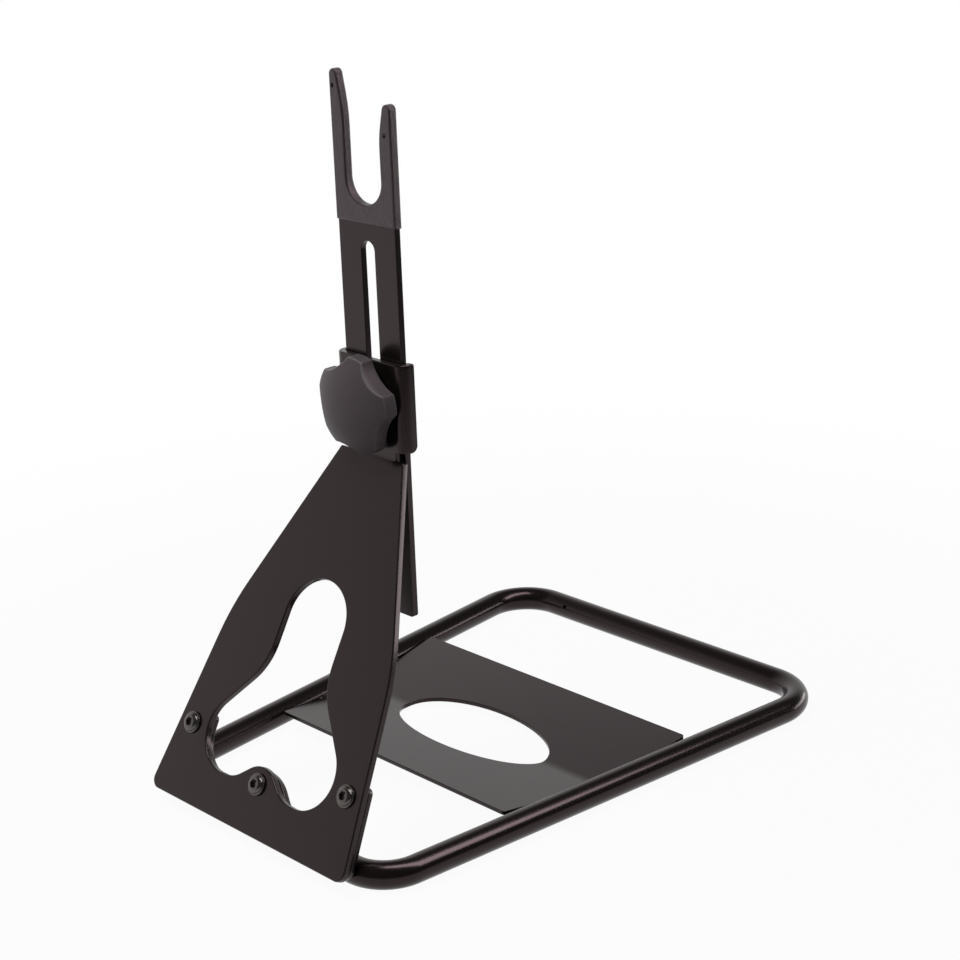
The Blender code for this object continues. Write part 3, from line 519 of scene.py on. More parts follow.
def sheet(outlines, thickness, rim=RIM, steps=3):
    """A flat sheet with rounded rims and its middle plane at Z 0, from its outline and those of its holes."""
    shape = bmesh.new()
    half = thickness / 2
    for outline in outlines:
        ring = [shape.verts.new((x, y, rim - half)) for x, y in without_doubles(outline)]
        for i in range(len(ring)):
            shape.edges.new((ring[i - 1], ring[i]))
    bmesh.ops.triangle_fill(shape, edges=shape.edges[:], use_beauty=True)
    lower = shape.faces[:]
    made = bmesh.ops.extrude_face_region(shape, geom=lower, use_keep_orig=True)["geom"]
    upper = [part for part in made if isinstance(part, bmesh.types.BMFace)]
    lifted = [part for part in made if isinstance(part, bmesh.types.BMVert)]
    bmesh.ops.translate(shape, verts=lifted, vec=(0.0, 0.0, thickness - 2 * rim))
    bmesh.ops.recalc_face_normals(shape, faces=shape.faces[:])
    for side in (lower, upper):
        for step in range(steps):
            a, b = (math.pi / 2 * (step + i) / steps for i in (0, 1))
            bmesh.ops.inset_region(
                shape, faces=side, thickness=rim * (math.cos(a) - math.cos(b)),
                depth=rim * (math.sin(b) - math.sin(a)), use_even_offset=True, use_boundary=True)
    # Mark the rims, where the coat and the knob get a painted highlight and steel gets its wear.
    rim_highlight_and_wear = shape.verts.layers.float.new("rim")
    for vert in shape.verts:
        vert[rim_highlight_and_wear] = 1.0 if half - rim + HAIR < abs(vert.co.z) < half - HAIR else 0.0
    return shape


def slice_across(shape, direction, places):
    """Cut a shape's faces along planes, so that it can bend there."""
    for place in places:
        bmesh.ops.bisect_plane(
            shape, geom=shape.verts[:] + shape.edges[:] + shape.faces[:], dist=HAIR,
            plane_co=Vector(direction) * place, plane_no=direction)


def turned(profile, steps=96):
    """A turned solid about Z, from a profile of radius and height."""
    shape = bmesh.new()
    line = [shape.verts.new((radius, 0.0, height)) for radius, height in profile]
    edges = [shape.edges.new(pair) for pair in zip(line, line[1:])]
    bmesh.ops.spin(
        shape, geom=line + edges, cent=(0.0, 0.0, 0.0), axis=(0.0, 0.0, 1.0), dvec=(0.0, 0.0, 0.0),
        angle=math.tau, steps=steps, use_merge=True, use_duplicate=False)
    bmesh.ops.remove_doubles(shape, verts=shape.verts[:], dist=MERGE_DISTANCE)
    bmesh.ops.recalc_face_normals(shape, faces=shape.faces[:])
    shape.verts.layers.float.new("rim")
    return shape


def swept(name, route, radius, sides, closed=False, swell=None):
    """A round bar along a route, with its radius times a swell at each point."""
    curve = bpy.data.curves.new(name, "CURVE")
    curve.dimensions = "3D"
    curve.fill_mode = "FULL"
    curve.bevel_depth = radius
    curve.bevel_resolution = (sides - 4) // 2
    curve.use_fill_caps = not closed
    spline = curve.splines.new("POLY")
    spline.points.add(len(route) - 1)
    for i, place in enumerate(route):
        spline.points[i].co = (*place, 1.0)
        spline.points[i].radius = swell[i] if swell else 1.0
    spline.use_cyclic_u = closed
    guide = bpy.data.objects.new(name, curve)
    bpy.context.scene.collection.objects.link(guide)
    graph = bpy.context.evaluated_depsgraph_get()
    mesh = bpy.data.meshes.new_from_object(guide.evaluated_get(graph))
    bpy.data.objects.remove(guide)
    bpy.data.curves.remove(curve)
    shape = bmesh.new()
    shape.from_mesh(mesh)
    bpy.data.meshes.remove(mesh)
    bmesh.ops.remove_doubles(shape, verts=shape.verts[:], dist=MERGE_DISTANCE)
    bmesh.ops.recalc_face_normals(shape, faces=shape.faces[:])
    shape.verts.layers.float.new("rim")
    return shape


def mesh_of(shape, name):
    """Turn a finished shape into mesh data."""
    mesh = bpy.data.meshes.new(name)
    shape.to_mesh(mesh)
    shape.free()
    return mesh


def combined(shape, tool, operation):
    """Cut, trim or join one solid with another."""
    objects = []
    for part in (shape, tool):
        guide = bpy.data.objects.new("guide", mesh_of(part, "guide"))
        bpy.context.scene.collection.objects.link(guide)
        objects.append(guide)
    step = objects[0].modifiers.new("combine", "BOOLEAN")
    step.object = objects[1]
    step.operation = operation
    step.solver = "EXACT"
    graph = bpy.context.evaluated_depsgraph_get()
    mesh = bpy.data.meshes.new_from_object(objects[0].evaluated_get(graph))
    result = bmesh.new()
    result.from_mesh(mesh)
    bpy.data.meshes.remove(mesh)
    for guide in objects:
        data = guide.data
        bpy.data.objects.remove(guide)
        bpy.data.meshes.remove(data)
    if "rim" not in result.verts.layers.float:
        result.verts.layers.float.new("rim")
    return result


def raised(height):
    """A move along Z."""
    return Matrix.Translation((0.0, 0.0, height))


def bar(radius, bottom, top, sides, turn=0.0):
    """An upright round or many-sided bar."""
    shape = bmesh.new()
    place = raised((bottom + top) / 2) @ Matrix.Rotation(turn, 4, "Z")
    bmesh.ops.create_cone(
        shape, cap_ends=True, segments=sides, radius1=radius, radius2=radius,
        depth=top - bottom, matrix=place)
    return shape


def put(shape, place):
    """Move a shape to its place on the stand."""
    bmesh.ops.transform(shape, matrix=place, verts=shape.verts[:])
    return shape


def add_piece(name, shape, finish, body, nodes, sharp=50):
    """Make a piece from a finished shape, in place of the nodes it stands for."""
    piece = bpy.data.objects.new(name, mesh_of(shape, name))
    bpy.context.scene.collection.objects.link(piece)
    piece.data.materials.append(finish.material)
    piece.data.shade_smooth()
    piece.data.set_sharp_from_angle(angle=math.radians(sharp))
    even = piece.modifiers.new("even_shading", "WEIGHTED_NORMAL")
    even.mode = "FACE_AREA"
    even.weight = 60
    even.keep_sharp = True
    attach(piece, body)
    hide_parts(*nodes)
    for node in nodes:
        slot = next(part["material_slot"] for part in frame["record"]["subparts"] if part["node"] == node)


# Places that follow from the sizes above. ON_PLATE is the leaning plate's own frame: X across,
# Y up the slope and Z out of its front face.
ON_PLATE = Matrix.Translation((0.0, FRONT_Y, FOOT_HEIGHT)) @ Matrix.Rotation(math.pi / 2 - LEAN, 4, "X")
BRACKET_FRONT = -(PLATE_THICKNESS + GAP)
BRACKET_BACK = BRACKET_FRONT - BRACKET_THICKNESS
SMALL_WASHER_TOP = BRACKET_BACK - GAP
SMALL_WASHER_BOTTOM = SMALL_WASHER_TOP - SMALL_WASHER_THICKNESS
NUT_TOP = SMALL_WASHER_BOTTOM - GAP
NUT_BOTTOM = NUT_TOP - NUT_HEIGHT
TUBE_BEHIND_PLATE = -BRACKET_BACK + WELD_GAP + TUBE_RADIUS
TUBE_V = (TUBE_RADIUS - FOOT_HEIGHT + TUBE_BEHIND_PLATE * math.sin(LEAN)) / math.cos(LEAN)
FRONT_RUN_Y = (ON_PLATE @ Vector((0.0, TUBE_V, -TUBE_BEHIND_PLATE))).y
BEND_SETBACK = NECK_BEND_RADIUS * math.tan(LEAN / 2)
NECK_Y = FRONT_Y + (SHOULDER_V + BEND_SETBACK / 2) * math.sin(LEAN)
ARM_FRONT_Y = NECK_Y + PLATE_THICKNESS + GAP
ARM_MIDDLE_Y = ARM_FRONT_Y + ARM_THICKNESS / 2
ARM_BACK_Y = ARM_FRONT_Y + ARM_THICKNESS
CHANNEL_ARC = CHANNEL_OUTER_RADIUS * math.pi / 2


def facing_front(y, z=0.0):
    """A frame that stands upright at a depth, its X to the right, its Y up and its Z to the front."""
    return Matrix.Translation((0.0, y, z)) @ Matrix.Rotation(math.pi / 2, 4, "X")


def half_width_at(y):
    """Half the width of the base at a depth, between the centre lines of its long sides."""
    return BACK_HALF_WIDTH - SPLAY * (BACK_RUN_Y - y)


def make_base_tube(coat):
    """The hollow tube loop with its round bends and its small vent hole."""
    corners = [
        (-half_width_at(FRONT_RUN_Y), FRONT_RUN_Y, FRONT_BEND_RADIUS),
        (half_width_at(FRONT_RUN_Y), FRONT_RUN_Y, FRONT_BEND_RADIUS),
        (BACK_HALF_WIDTH, BACK_RUN_Y, BACK_BEND_RADIUS),
        (-BACK_HALF_WIDTH, BACK_RUN_Y, BACK_BEND_RADIUS),
    ]
    route = [(x, y, TUBE_RADIUS) for x, y in rounded(corners, step=math.radians(3))]
    outside = swept("tube", route, TUBE_RADIUS, sides=48, closed=True)
    inside = swept("bore", route, TUBE_RADIUS - TUBE_WALL, sides=24, closed=True)
    tube = combined(outside, inside, "DIFFERENCE")
    at_vent = Matrix.Translation((VENT_X, BACK_RUN_Y, TUBE_RADIUS)) @ Matrix.Rotation(VENT_LEAN, 4, "X")
    drill = turned([
        (0.0, 0.0), (VENT_BORE_RADIUS, 0.0), (VENT_BORE_RADIUS, TUBE_RADIUS - VENT_SINK),
        (VENT_RADIUS, TUBE_RADIUS - VENT_LIP), (VENT_RADIUS, 2 * TUBE_RADIUS),
        (0.0, 2 * TUBE_RADIUS)], steps=36)
    tube = combined(tube, put(drill, at_vent), "DIFFERENCE")
    add_piece("tube_loop", tube, coat, "frame", ["base_tube"])


def cross_height(y):
    """Height of the cross plate's top at a depth, with its crease rounded."""
    slope = math.atan((CROSS_EDGE_TOP - CROSS_CREASE_TOP) / (CROSS_BACK_Y - CROSS_MIDDLE_Y))
    away = abs(y - CROSS_MIDDLE_Y)
    reach = CROSS_CREASE_RADIUS * math.sin(slope)
    if away >= reach:
        return CROSS_CREASE_TOP + away * math.tan(slope)
    centre = CROSS_CREASE_TOP + CROSS_CREASE_RADIUS / math.cos(slope)
    return centre - math.sqrt(CROSS_CREASE_RADIUS ** 2 - away ** 2)


def make_cross_plate(coat):
    """The dipped sheet with its oval hole."""
    front = half_width_at(CROSS_FRONT_Y) - CROSS_INSET
    back = half_width_at(CROSS_BACK_Y) - CROSS_INSET
    corner = CROSS_CORNER_RADIUS
    rim = rounded([
        (-front, CROSS_FRONT_Y, corner), (front, CROSS_FRONT_Y, corner),
        (back, CROSS_BACK_Y, corner), (-back, CROSS_BACK_Y, corner)])
    oval = [(OVAL_HALF_LENGTH * x, CROSS_MIDDLE_Y + OVAL_HALF_WIDTH * y)
            for x, y in circle(0, 0, 1, count=144)]
    plate = sheet([rim, oval], CROSS_THICKNESS, THIN_RIM)
    steps = range(-CROSS_CREASE_STEPS, CROSS_CREASE_STEPS + 1)
    slice_across(plate, (0, 1, 0), [CROSS_MIDDLE_Y + CROSS_CREASE_STEP * i for i in steps])
    for vert in plate.verts:
        vert.co.z += cross_height(vert.co.y) - CROSS_THICKNESS / 2
    add_piece("tyre_plate", plate, coat, "frame", ["cross_plate"])


def rippled_bead(start, end, radius):
    """A welded bead between two points of a path, with a ripple for each step of the torch."""
    length = (end - start).length
    count = int(length / (RIPPLE / RIPPLE_STEPS))
    route = []
    swell = []
    for i in range(count + 1):
        along = i / count
        step = (along * length / RIPPLE) % 1.0
        ends = min(1.0, BEAD_END_SHARE + min(along, 1.0 - along) * length / (2 * radius))
        wander = sum(size * math.sin(rate * along + first) for size, rate, first in BEAD_WANDER)
        route.append(start.lerp(end, along))
        swell.append(ends * (1.0 + RIPPLE_SWELL * math.sqrt(1.0 - step) - RIPPLE_SINK + wander))
    return swept("bead", route, radius, sides=20, swell=swell)


def in_weld_gap(y, sign):
    """A point midway between the tube and the cross plate's edge, at a depth on one side."""
    height = cross_height(y) - CROSS_BEAD_DROP
    tube_side = math.sqrt(TUBE_RADIUS ** 2 - (height - TUBE_RADIUS) ** 2)
    inwards = (tube_side + CROSS_INSET) / 2
    return Vector((sign * (half_width_at(y) - inwards), y, height))


def make_cross_welds(coat):
    """The beads that fill the gap between tube and cross plate, and follow its dip."""
    for side, sign in (("left", -1), ("right", 1)):
        beads = []
        for way in (-1, 1):
            start = in_weld_gap(CROSS_MIDDLE_Y + way * CROSS_BEAD_START, sign)
            end = in_weld_gap(CROSS_MIDDLE_Y + way * CROSS_BEAD_HALF_LENGTH, sign)
            beads.append(rippled_bead(start, end, CROSS_BEAD_RADIUS))
        bead = combined(beads[0], beads[1], "UNION")
        add_piece("plate_weld_" + side, bead, coat, "frame", ["cross_plate_weld_" + side], sharp=80)


def make_bracket_weld(coat):
    """The bead in the groove between the bracket and the front run of the tube."""
    reach = TUBE_RADIUS + BRACKET_BEAD_RADIUS + WELD_GAP
    v = TUBE_V + math.sqrt(reach ** 2 - (TUBE_RADIUS - BRACKET_BEAD_RADIUS) ** 2)
    behind = BRACKET_BACK - WELD_GAP - BRACKET_BEAD_RADIUS
    half = BRACKET_BEAD_HALF_LENGTH
    start = Vector((-half, v, behind))
    end = Vector((half, v, behind))
    bead = rippled_bead(start, end, BRACKET_BEAD_RADIUS * BRACKET_BEAD_FULLNESS)
    add_piece("foot_weld", put(bead, ON_PLATE), coat, "frame", ["bracket_weld"], sharp=80)


def lobe_circles(lobe, lobe_foot, bump):
    """The circles round two lobes and the bump between them, from left to right."""
    lobe_x, lobe_v, lobe_radius = lobe
    foot_x, foot_v, foot_radius = lobe_foot
    return [
        (-lobe_x, lobe_v, lobe_radius, 1), (-foot_x, foot_v, foot_radius, 1), (*bump, -1),
        (foot_x, foot_v, foot_radius, 1), (lobe_x, lobe_v, lobe_radius, 1),
    ]


def screw_holes():
    """Round outlines for the three screws."""
    return [circle(u, v, SCREW_CLEARANCE_RADIUS, count=36) for u, v in SCREW_PLACES.values()]


def make_rear_bracket(coat):
    """The low sheet behind the foot of the plate, with two lobes of its own that are open at the top."""
    slope = (FOOT_HALF_WIDTH - WAIST_HALF_WIDTH) / WAIST_V
    lean = math.atan(slope)
    corners = []
    for v, radius in ((BRACKET_FOOT_V + BRACKET_FOOT_RADIUS, BRACKET_FOOT_RADIUS),
                      (BRACKET_TOP_V - BRACKET_SHOULDER_RADIUS, BRACKET_SHOULDER_RADIUS)):
        edge = FOOT_HALF_WIDTH - BRACKET_INSET - slope * v
        corners.append((edge - radius / math.cos(lean), v, radius))
    (foot_u, foot_v, foot_radius), (top_u, top_v, top_radius) = corners
    tip_v = BRACKET_TOP_V - BRACKET_TIP_RADIUS
    lobes = lobe_circles(BRACKET_LOBE, BRACKET_LOBE_FOOT, BRACKET_BUMP)
    notch = [(u, v, radius, -turn) for u, v, radius, turn in reversed(lobes)]
    rim = [
        (-foot_u, foot_v, foot_radius, 1), (foot_u, foot_v, foot_radius, 1),
        (top_u, top_v, top_radius, 1), (BRACKET_TIP_U, tip_v, BRACKET_TIP_RADIUS, 1), *notch,
        (-BRACKET_TIP_U, tip_v, BRACKET_TIP_RADIUS, 1), (-top_u, top_v, top_radius, 1),
    ]
    bracket = sheet([belt(rim)] + screw_holes(), BRACKET_THICKNESS)
    place = ON_PLATE @ raised((BRACKET_FRONT + BRACKET_BACK) / 2)
    add_piece("foot_bracket", put(bracket, place), coat, "frame", ["rear_bracket"])


def bend_neck(shape):
    """Bend a flat sheet, in the leaning plate's frame, upright at its neck."""
    start = (NECK_Y - FRONT_Y) / math.sin(LEAN) - BEND_SETBACK
    arc_length = NECK_BEND_RADIUS * LEAN
    slice_across(shape, (0, 1, 0), [start + arc_length * i / 8 for i in range(9)])
    bend_start = ON_PLATE @ Vector((0.0, start, 0.0))
    outward = Vector((0.0, -math.cos(LEAN), math.sin(LEAN)))
    centre = bend_start + outward * NECK_BEND_RADIUS
    for vert in shape.verts:
        x, v, depth = vert.co.x, vert.co.y, -vert.co.z
        if v <= start:
            vert.co = ON_PLATE @ Vector((x, v, -depth))
            continue
        turn = min(LEAN, (v - start) / NECK_BEND_RADIUS)
        lean = LEAN - turn
        spoke = Vector((0.0, math.cos(lean), -math.sin(lean)))
        place = centre + spoke * (NECK_BEND_RADIUS + depth)
        place.x = x
        place.z += max(0.0, v - start - arc_length)
        vert.co = place


def channel_faces(w):
    """Half width and depth that a line of the flat strip gets on the outer and on the inner face."""
    outer_flat = CHANNEL_HALF_WIDTH - CHANNEL_OUTER_RADIUS
    inner_flat = CHANNEL_HALF_WIDTH - PLATE_THICKNESS - CHANNEL_INNER_RADIUS
    inner_bend = PLATE_THICKNESS + CHANNEL_INNER_RADIUS
    if w <= outer_flat:
        kept = CHANNEL_KEPT_HALF_WIDTH
        inner_w = w if w <= kept else kept + (w - kept) * (inner_flat - kept) / (outer_flat - kept)
        return (w, 0.0), (inner_w, PLATE_THICKNESS)
    if w <= outer_flat + CHANNEL_ARC:
        a = (w - outer_flat) / CHANNEL_OUTER_RADIUS
        outer = outer_flat + CHANNEL_OUTER_RADIUS * math.sin(a), CHANNEL_OUTER_RADIUS * (1 - math.cos(a))
        rise = CHANNEL_INNER_RADIUS * (1 - math.cos(a))
        return outer, (inner_flat + CHANNEL_INNER_RADIUS * math.sin(a), PLATE_THICKNESS + rise)
    outer_flange = CHANNEL_DEPTH - CHANNEL_OUTER_RADIUS
    inner_flange = CHANNEL_DEPTH - PLATE_THICKNESS - CHANNEL_INNER_RADIUS
    along = (w - outer_flat - CHANNEL_ARC) / outer_flange
    outer = (CHANNEL_HALF_WIDTH, CHANNEL_OUTER_RADIUS + along * outer_flange)
    return outer, (CHANNEL_HALF_WIDTH - PLATE_THICKNESS, inner_bend + along * inner_flange)


def wrap_channel(shape):
    """Bend a flat strip's two ends back into the flanges of the guide channel."""
    bend_start = CHANNEL_HALF_WIDTH - CHANNEL_OUTER_RADIUS
    lines = [CHANNEL_KEPT_HALF_WIDTH] + [bend_start + CHANNEL_ARC * i / 12 for i in range(13)]
    slice_across(shape, (1, 0, 0), lines + [-line for line in lines])
    for vert in shape.verts:
        sign = 1 if vert.co.x >= 0 else -1
        share = -vert.co.z / PLATE_THICKNESS
        outer, inner = channel_faces(abs(vert.co.x))
        x = outer[0] + (inner[0] - outer[0]) * share
        back = outer[1] + (inner[1] - outer[1]) * share
        vert.co = (sign * x, NECK_Y + back, vert.co.y)


def plate_outlines():
    """Outlines of the flat front plate, its window and its screw holes."""
    neck_top = SHOULDER_V + NECK_LENGTH
    rim = rounded([
        (-FOOT_HALF_WIDTH, 0.0, FOOT_RADIUS), (FOOT_HALF_WIDTH, 0.0, FOOT_RADIUS),
        (WAIST_HALF_WIDTH, WAIST_V, WAIST_RADIUS),
        (SHOULDER_HALF_WIDTH, SHOULDER_V, SHOULDER_RADIUS), (NECK_HALF_WIDTH, SHOULDER_V, 0.0),
        (NECK_HALF_WIDTH, neck_top, 0.0), (-NECK_HALF_WIDTH, neck_top, 0.0),
        (-NECK_HALF_WIDTH, SHOULDER_V, 0.0), (-SHOULDER_HALF_WIDTH, SHOULDER_V, SHOULDER_RADIUS),
        (-WAIST_HALF_WIDTH, WAIST_V, WAIST_RADIUS)], step=math.radians(2.5))
    waist_x, waist_v, waist_radius = WINDOW_WAIST
    lobes = lobe_circles(WINDOW_LOBE, WINDOW_LOBE_FOOT, WINDOW_BUMP)
    window = belt([
        (*WINDOW_HEAD, 1), (-waist_x, waist_v, waist_radius, -1), *lobes,
        (waist_x, waist_v, waist_radius, -1)])
    return [rim, window] + screw_holes()


def make_front_plate(coat):
    """The leaning plate, its upright neck and the channel round the arm, all one bent sheet."""
    plate = sheet(plate_outlines(), PLATE_THICKNESS)
    put(plate, raised(-PLATE_THICKNESS / 2))
    bend_neck(plate)

    reach = CHANNEL_HALF_WIDTH - CHANNEL_OUTER_RADIUS + CHANNEL_ARC
    reach += CHANNEL_DEPTH - CHANNEL_OUTER_RADIUS
    strip = rounded([
        (-reach, CHANNEL_BOTTOM, CHANNEL_FOOT_RADIUS), (reach, CHANNEL_BOTTOM, CHANNEL_FOOT_RADIUS),
        (reach, CHANNEL_TOP, CHANNEL_HEAD_RADIUS), (-reach, CHANNEL_TOP, CHANNEL_HEAD_RADIUS)])
    channel = sheet([strip, circle(0.0, CLAMP_Z, CLAMP_HOLE_RADIUS)], PLATE_THICKNESS)
    put(channel, raised(-PLATE_THICKNESS / 2))
    wrap_channel(channel)
    whole = combined(plate, channel, "UNION")
    add_piece("leaning_plate", whole, coat, "frame", ["front_plate"])


def fork_circles(bottom):
    """The fork's outline over its coating, closed by a square foot at a height."""
    half = COATING_HALF_WIDTH
    return [
        (-half, bottom, 0.0, 1), (half, bottom, 0.0, 1),
        FORK_RIGHT_TIP, FORK_RIGHT_INNER, FORK_CROTCH, FORK_LEFT_INNER, FORK_LEFT_TIP,
    ]


def make_sliding_arm(coat):
    """The slotted bar that carries the fork."""
    edge = ARM_HALF_WIDTH - ARM_CORNER_RADIUS
    foot_z = ARM_BOTTOM + ARM_CORNER_RADIUS
    rim = [(-edge, foot_z, ARM_CORNER_RADIUS, 1), (edge, foot_z, ARM_CORNER_RADIUS, 1)]
    rim += grown(fork_circles(0.0)[2:], -(COATING_WALL + COATING_GAP))
    slot = belt([
        (0.0, SLOT_BOTTOM + SLOT_HALF_WIDTH, SLOT_HALF_WIDTH, 1),
        (0.0, SLOT_TOP - SLOT_HALF_WIDTH, SLOT_HALF_WIDTH, 1)])
    holes = [circle(x, z, HANGING_HOLE_RADIUS, count=24) for x, z in HANGING_HOLES]
    arm = sheet([belt(rim), slot] + holes, ARM_THICKNESS, THIN_RIM)
    add_piece("slotted_arm", put(arm, facing_front(ARM_MIDDLE_Y)), coat, "arm", ["sliding_arm"])


def make_fork_coating(vinyl):
    """The dipped skin over the fork, soft at its rims and open at its foot."""
    outside = ARM_THICKNESS + 2 * (COATING_WALL + COATING_GAP)
    inside = ARM_THICKNESS + 2 * COATING_GAP
    skin = sheet([belt(fork_circles(COATING_BOTTOM))], outside, COATING_RIM, steps=5)
    core = grown(fork_circles(COATING_BOTTOM - COATING_OVERCUT), -COATING_WALL)
    skin = combined(skin, sheet([belt(core)], inside, FINE_RIM, steps=1), "DIFFERENCE")
    for x, z in HANGING_HOLES:
        bore = bar(HANGING_HOLE_RADIUS, -outside, outside, sides=24)
        skin = combined(skin, put(bore, Matrix.Translation((x, z, 0.0))), "DIFFERENCE")
    add_piece("fork_skin", put(skin, facing_front(ARM_MIDDLE_Y)), vinyl, "arm", ["fork_coating"])


def ringed_shank(radius, top, bottom, pitch):
    """Profile of a threaded shank from its upper end down to its chamfered tip."""
    depth = THREAD_DEPTH * pitch
    count = int((top - bottom - pitch) / pitch)
    points = []
    for i in range(count):
        points += [
            (radius, top - i * pitch), (radius, top - (i + THREAD_FLAT) * pitch),
            (radius - depth, top - (i + 0.5) * pitch), (radius, top - (i + (1.0 - THREAD_FLAT)) * pitch)]
    return points + [(radius, bottom + THREAD_TIP * pitch), (radius - depth, bottom)]


def make_clamp_bolt(zinc):
    """Coach bolt: a domed head behind the arm, a square neck in the slot, and a threaded shank."""
    head_y = ARM_BACK_Y + GAP
    knob_back_y = NECK_Y - 2 * GAP - WASHER_THICKNESS
    reach = head_y - knob_back_y + BOLT_REACH_IN_KNOB
    thread = ringed_shank(BOLT_RADIUS, -BOLT_THREAD_START, -reach, BOLT_PITCH)
    profile = [(0.0, reach)] + [(radius, -height) for radius, height in reversed(thread)]
    profile += [(BOLT_RADIUS, 0.0), (BOLT_HEAD_RADIUS, 0.0)]
    for i in range(10):
        a = math.radians(9 * i)
        profile.append((BOLT_HEAD_RADIUS * math.cos(a), -BOLT_HEAD_RIM - BOLT_HEAD_DOME * math.sin(a)))
    profile.append((0.0, -BOLT_HEAD_RIM - BOLT_HEAD_DOME))
    neck = bar(BOLT_RADIUS * math.sqrt(2), -BOLT_HEAD_RIM, BOLT_NECK_LENGTH, sides=4, turn=math.pi / 4)
    bolt = combined(turned(without_doubles(profile)), neck, "UNION")
    put(bolt, facing_front(head_y, CLAMP_Z))
    add_piece("coach_bolt", bolt, zinc, "clamp_bolt", ["clamp_bolt"], sharp=35)


def make_knob_washer(zinc):
    """Flat washer between the knob and the neck."""
    rim = circle(0, 0, WASHER_RADIUS, count=96)
    hole = circle(0, 0, BOLT_RADIUS + GAP, count=64)
    ring = sheet([rim, hole], WASHER_THICKNESS, FINE_RIM)
    put(ring, raised(GAP + WASHER_THICKNESS / 2))
    put(ring, facing_front(NECK_Y, CLAMP_Z))
    add_piece("neck_washer", ring, zinc, "frame", ["knob_washer"])


def star_outline():
    """The knob's outline: hollows with softened corners, and between them the tips of its lobes."""
    soft = KNOB_CORNER_RADIUS
    distance = HOLLOW_FLOOR + HOLLOW_RADIUS
    reach = KNOB_RADIUS - soft
    touch = HOLLOW_RADIUS + soft
    turn = math.acos((reach ** 2 + distance ** 2 - touch ** 2) / (2 * reach * distance))
    outline = []
    for number in range(KNOB_LOBES):
        middle = KNOB_FIRST_HOLLOW + math.tau * number / KNOB_LOBES
        centre = on_circle(distance, middle)
        first, last = on_circle(reach, middle - turn), on_circle(reach, middle + turn)
        inwards, outwards = angle_to(first, centre), angle_to(last, centre)
        start, end = angle_to(centre, first), angle_to(centre, last)
        outline += arc(first, soft, middle - turn, turn_between(middle - turn, inwards), math.radians(15))
        outline += arc(centre, HOLLOW_RADIUS, start, turn_between(start, end), math.radians(2))
        outline += arc(last, soft, outwards, turn_between(outwards, middle + turn), math.radians(15))
        tip = math.tau / KNOB_LOBES - 2 * turn
        outline += arc((0.0, 0.0), KNOB_RADIUS, middle + turn, tip, math.radians(3))
    return outline


def raise_dome(shape):
    """Raise the front of the knob's flat body into part of a sphere."""
    front = KNOB_WALL / 2 - KNOB_RIM
    steps = range(-KNOB_DOME_STEPS, KNOB_DOME_STEPS + 1)
    for direction in ((1, 0, 0), (0, 1, 0)):
        slice_across(shape, direction, [KNOB_DOME_STEP * i for i in steps])
    sphere_radius = (KNOB_RADIUS ** 2 + KNOB_DOME ** 2) / (2 * KNOB_DOME)
    for vert in shape.verts:
        if vert.co.z > front + MERGE_DISTANCE:
            away = min(KNOB_RADIUS, math.hypot(vert.co.x, vert.co.y))
            vert.co.z += math.sqrt(sphere_radius ** 2 - away ** 2) - sphere_radius + KNOB_DOME


def make_knob(plastic):
    """Star knob: five lobes under a shallow dome, with a round boss on its back."""
    body = sheet([star_outline()], KNOB_WALL, KNOB_RIM, steps=4)
    raise_dome(body)
    put(body, raised(BOSS_HEIGHT + KNOB_WALL / 2))
    rim = circle(0, 0, BOSS_RADIUS, count=96)
    hole = circle(0, 0, BOSS_HOLE_RADIUS, count=64)
    boss = sheet([rim, hole], 2 * BOSS_HEIGHT, THIN_RIM)
    put(boss, raised(BOSS_HEIGHT))
    knob = combined(body, boss, "UNION")
    put(knob, facing_front(NECK_Y - 2 * GAP - WASHER_THICKNESS, CLAMP_Z))
    add_piece("star_knob", knob, plastic, "knob", ["knob_body"], sharp=60)


def button_head():
    """Profile of a flanged button head, from its crown down to where its shank starts."""
    across = BUTTON_RADIUS - CROWN_RADIUS
    rise = BUTTON_HEIGHT - BUTTON_SHOULDER_HEIGHT
    profile = [(0.0, BUTTON_HEIGHT), (CROWN_RADIUS, BUTTON_HEIGHT)]
    for i in range(1, 7):
        a = math.radians(15 * i)
        profile.append((CROWN_RADIUS + across * math.sin(a), BUTTON_HEIGHT - rise * (1 - math.cos(a))))
    return profile + [
        (BUTTON_RADIUS, FLANGE_HEIGHT + FLANGE_FILLET), (BUTTON_RADIUS + FLANGE_FILLET, FLANGE_HEIGHT),
        (FLANGE_RADIUS - FLANGE_SOFT, FLANGE_HEIGHT),
        (FLANGE_RADIUS - FLANGE_BREAK, FLANGE_HEIGHT - FLANGE_BREAK),
        (FLANGE_RADIUS, FLANGE_HEIGHT - FLANGE_SOFT), (FLANGE_RADIUS, 0.0), (SHANK_RADIUS, 0.0),
    ]


def make_plate_screw(steel, place, at_screw):
    """One flanged screw with its hexagon socket and its thread."""
    shank = ringed_shank(SHANK_RADIUS, -SCREW_THREAD_START, -SCREW_LENGTH, SCREW_PITCH)
    profile = button_head() + shank + [(0.0, -SCREW_LENGTH)]
    screw = turned(without_doubles(profile), steps=72)
    socket = bar(
        SOCKET_ACROSS_FLATS / math.sqrt(3), BUTTON_HEIGHT - SOCKET_DEPTH, SOCKET_CUT_TOP,
        sides=6, turn=math.pi / 6)
    screw = combined(screw, socket, "DIFFERENCE")
    put(screw, at_screw @ raised(GAP))
    add_piece("button_screw_" + place, screw, steel, "frame", ["plate_screw_" + place], sharp=35)


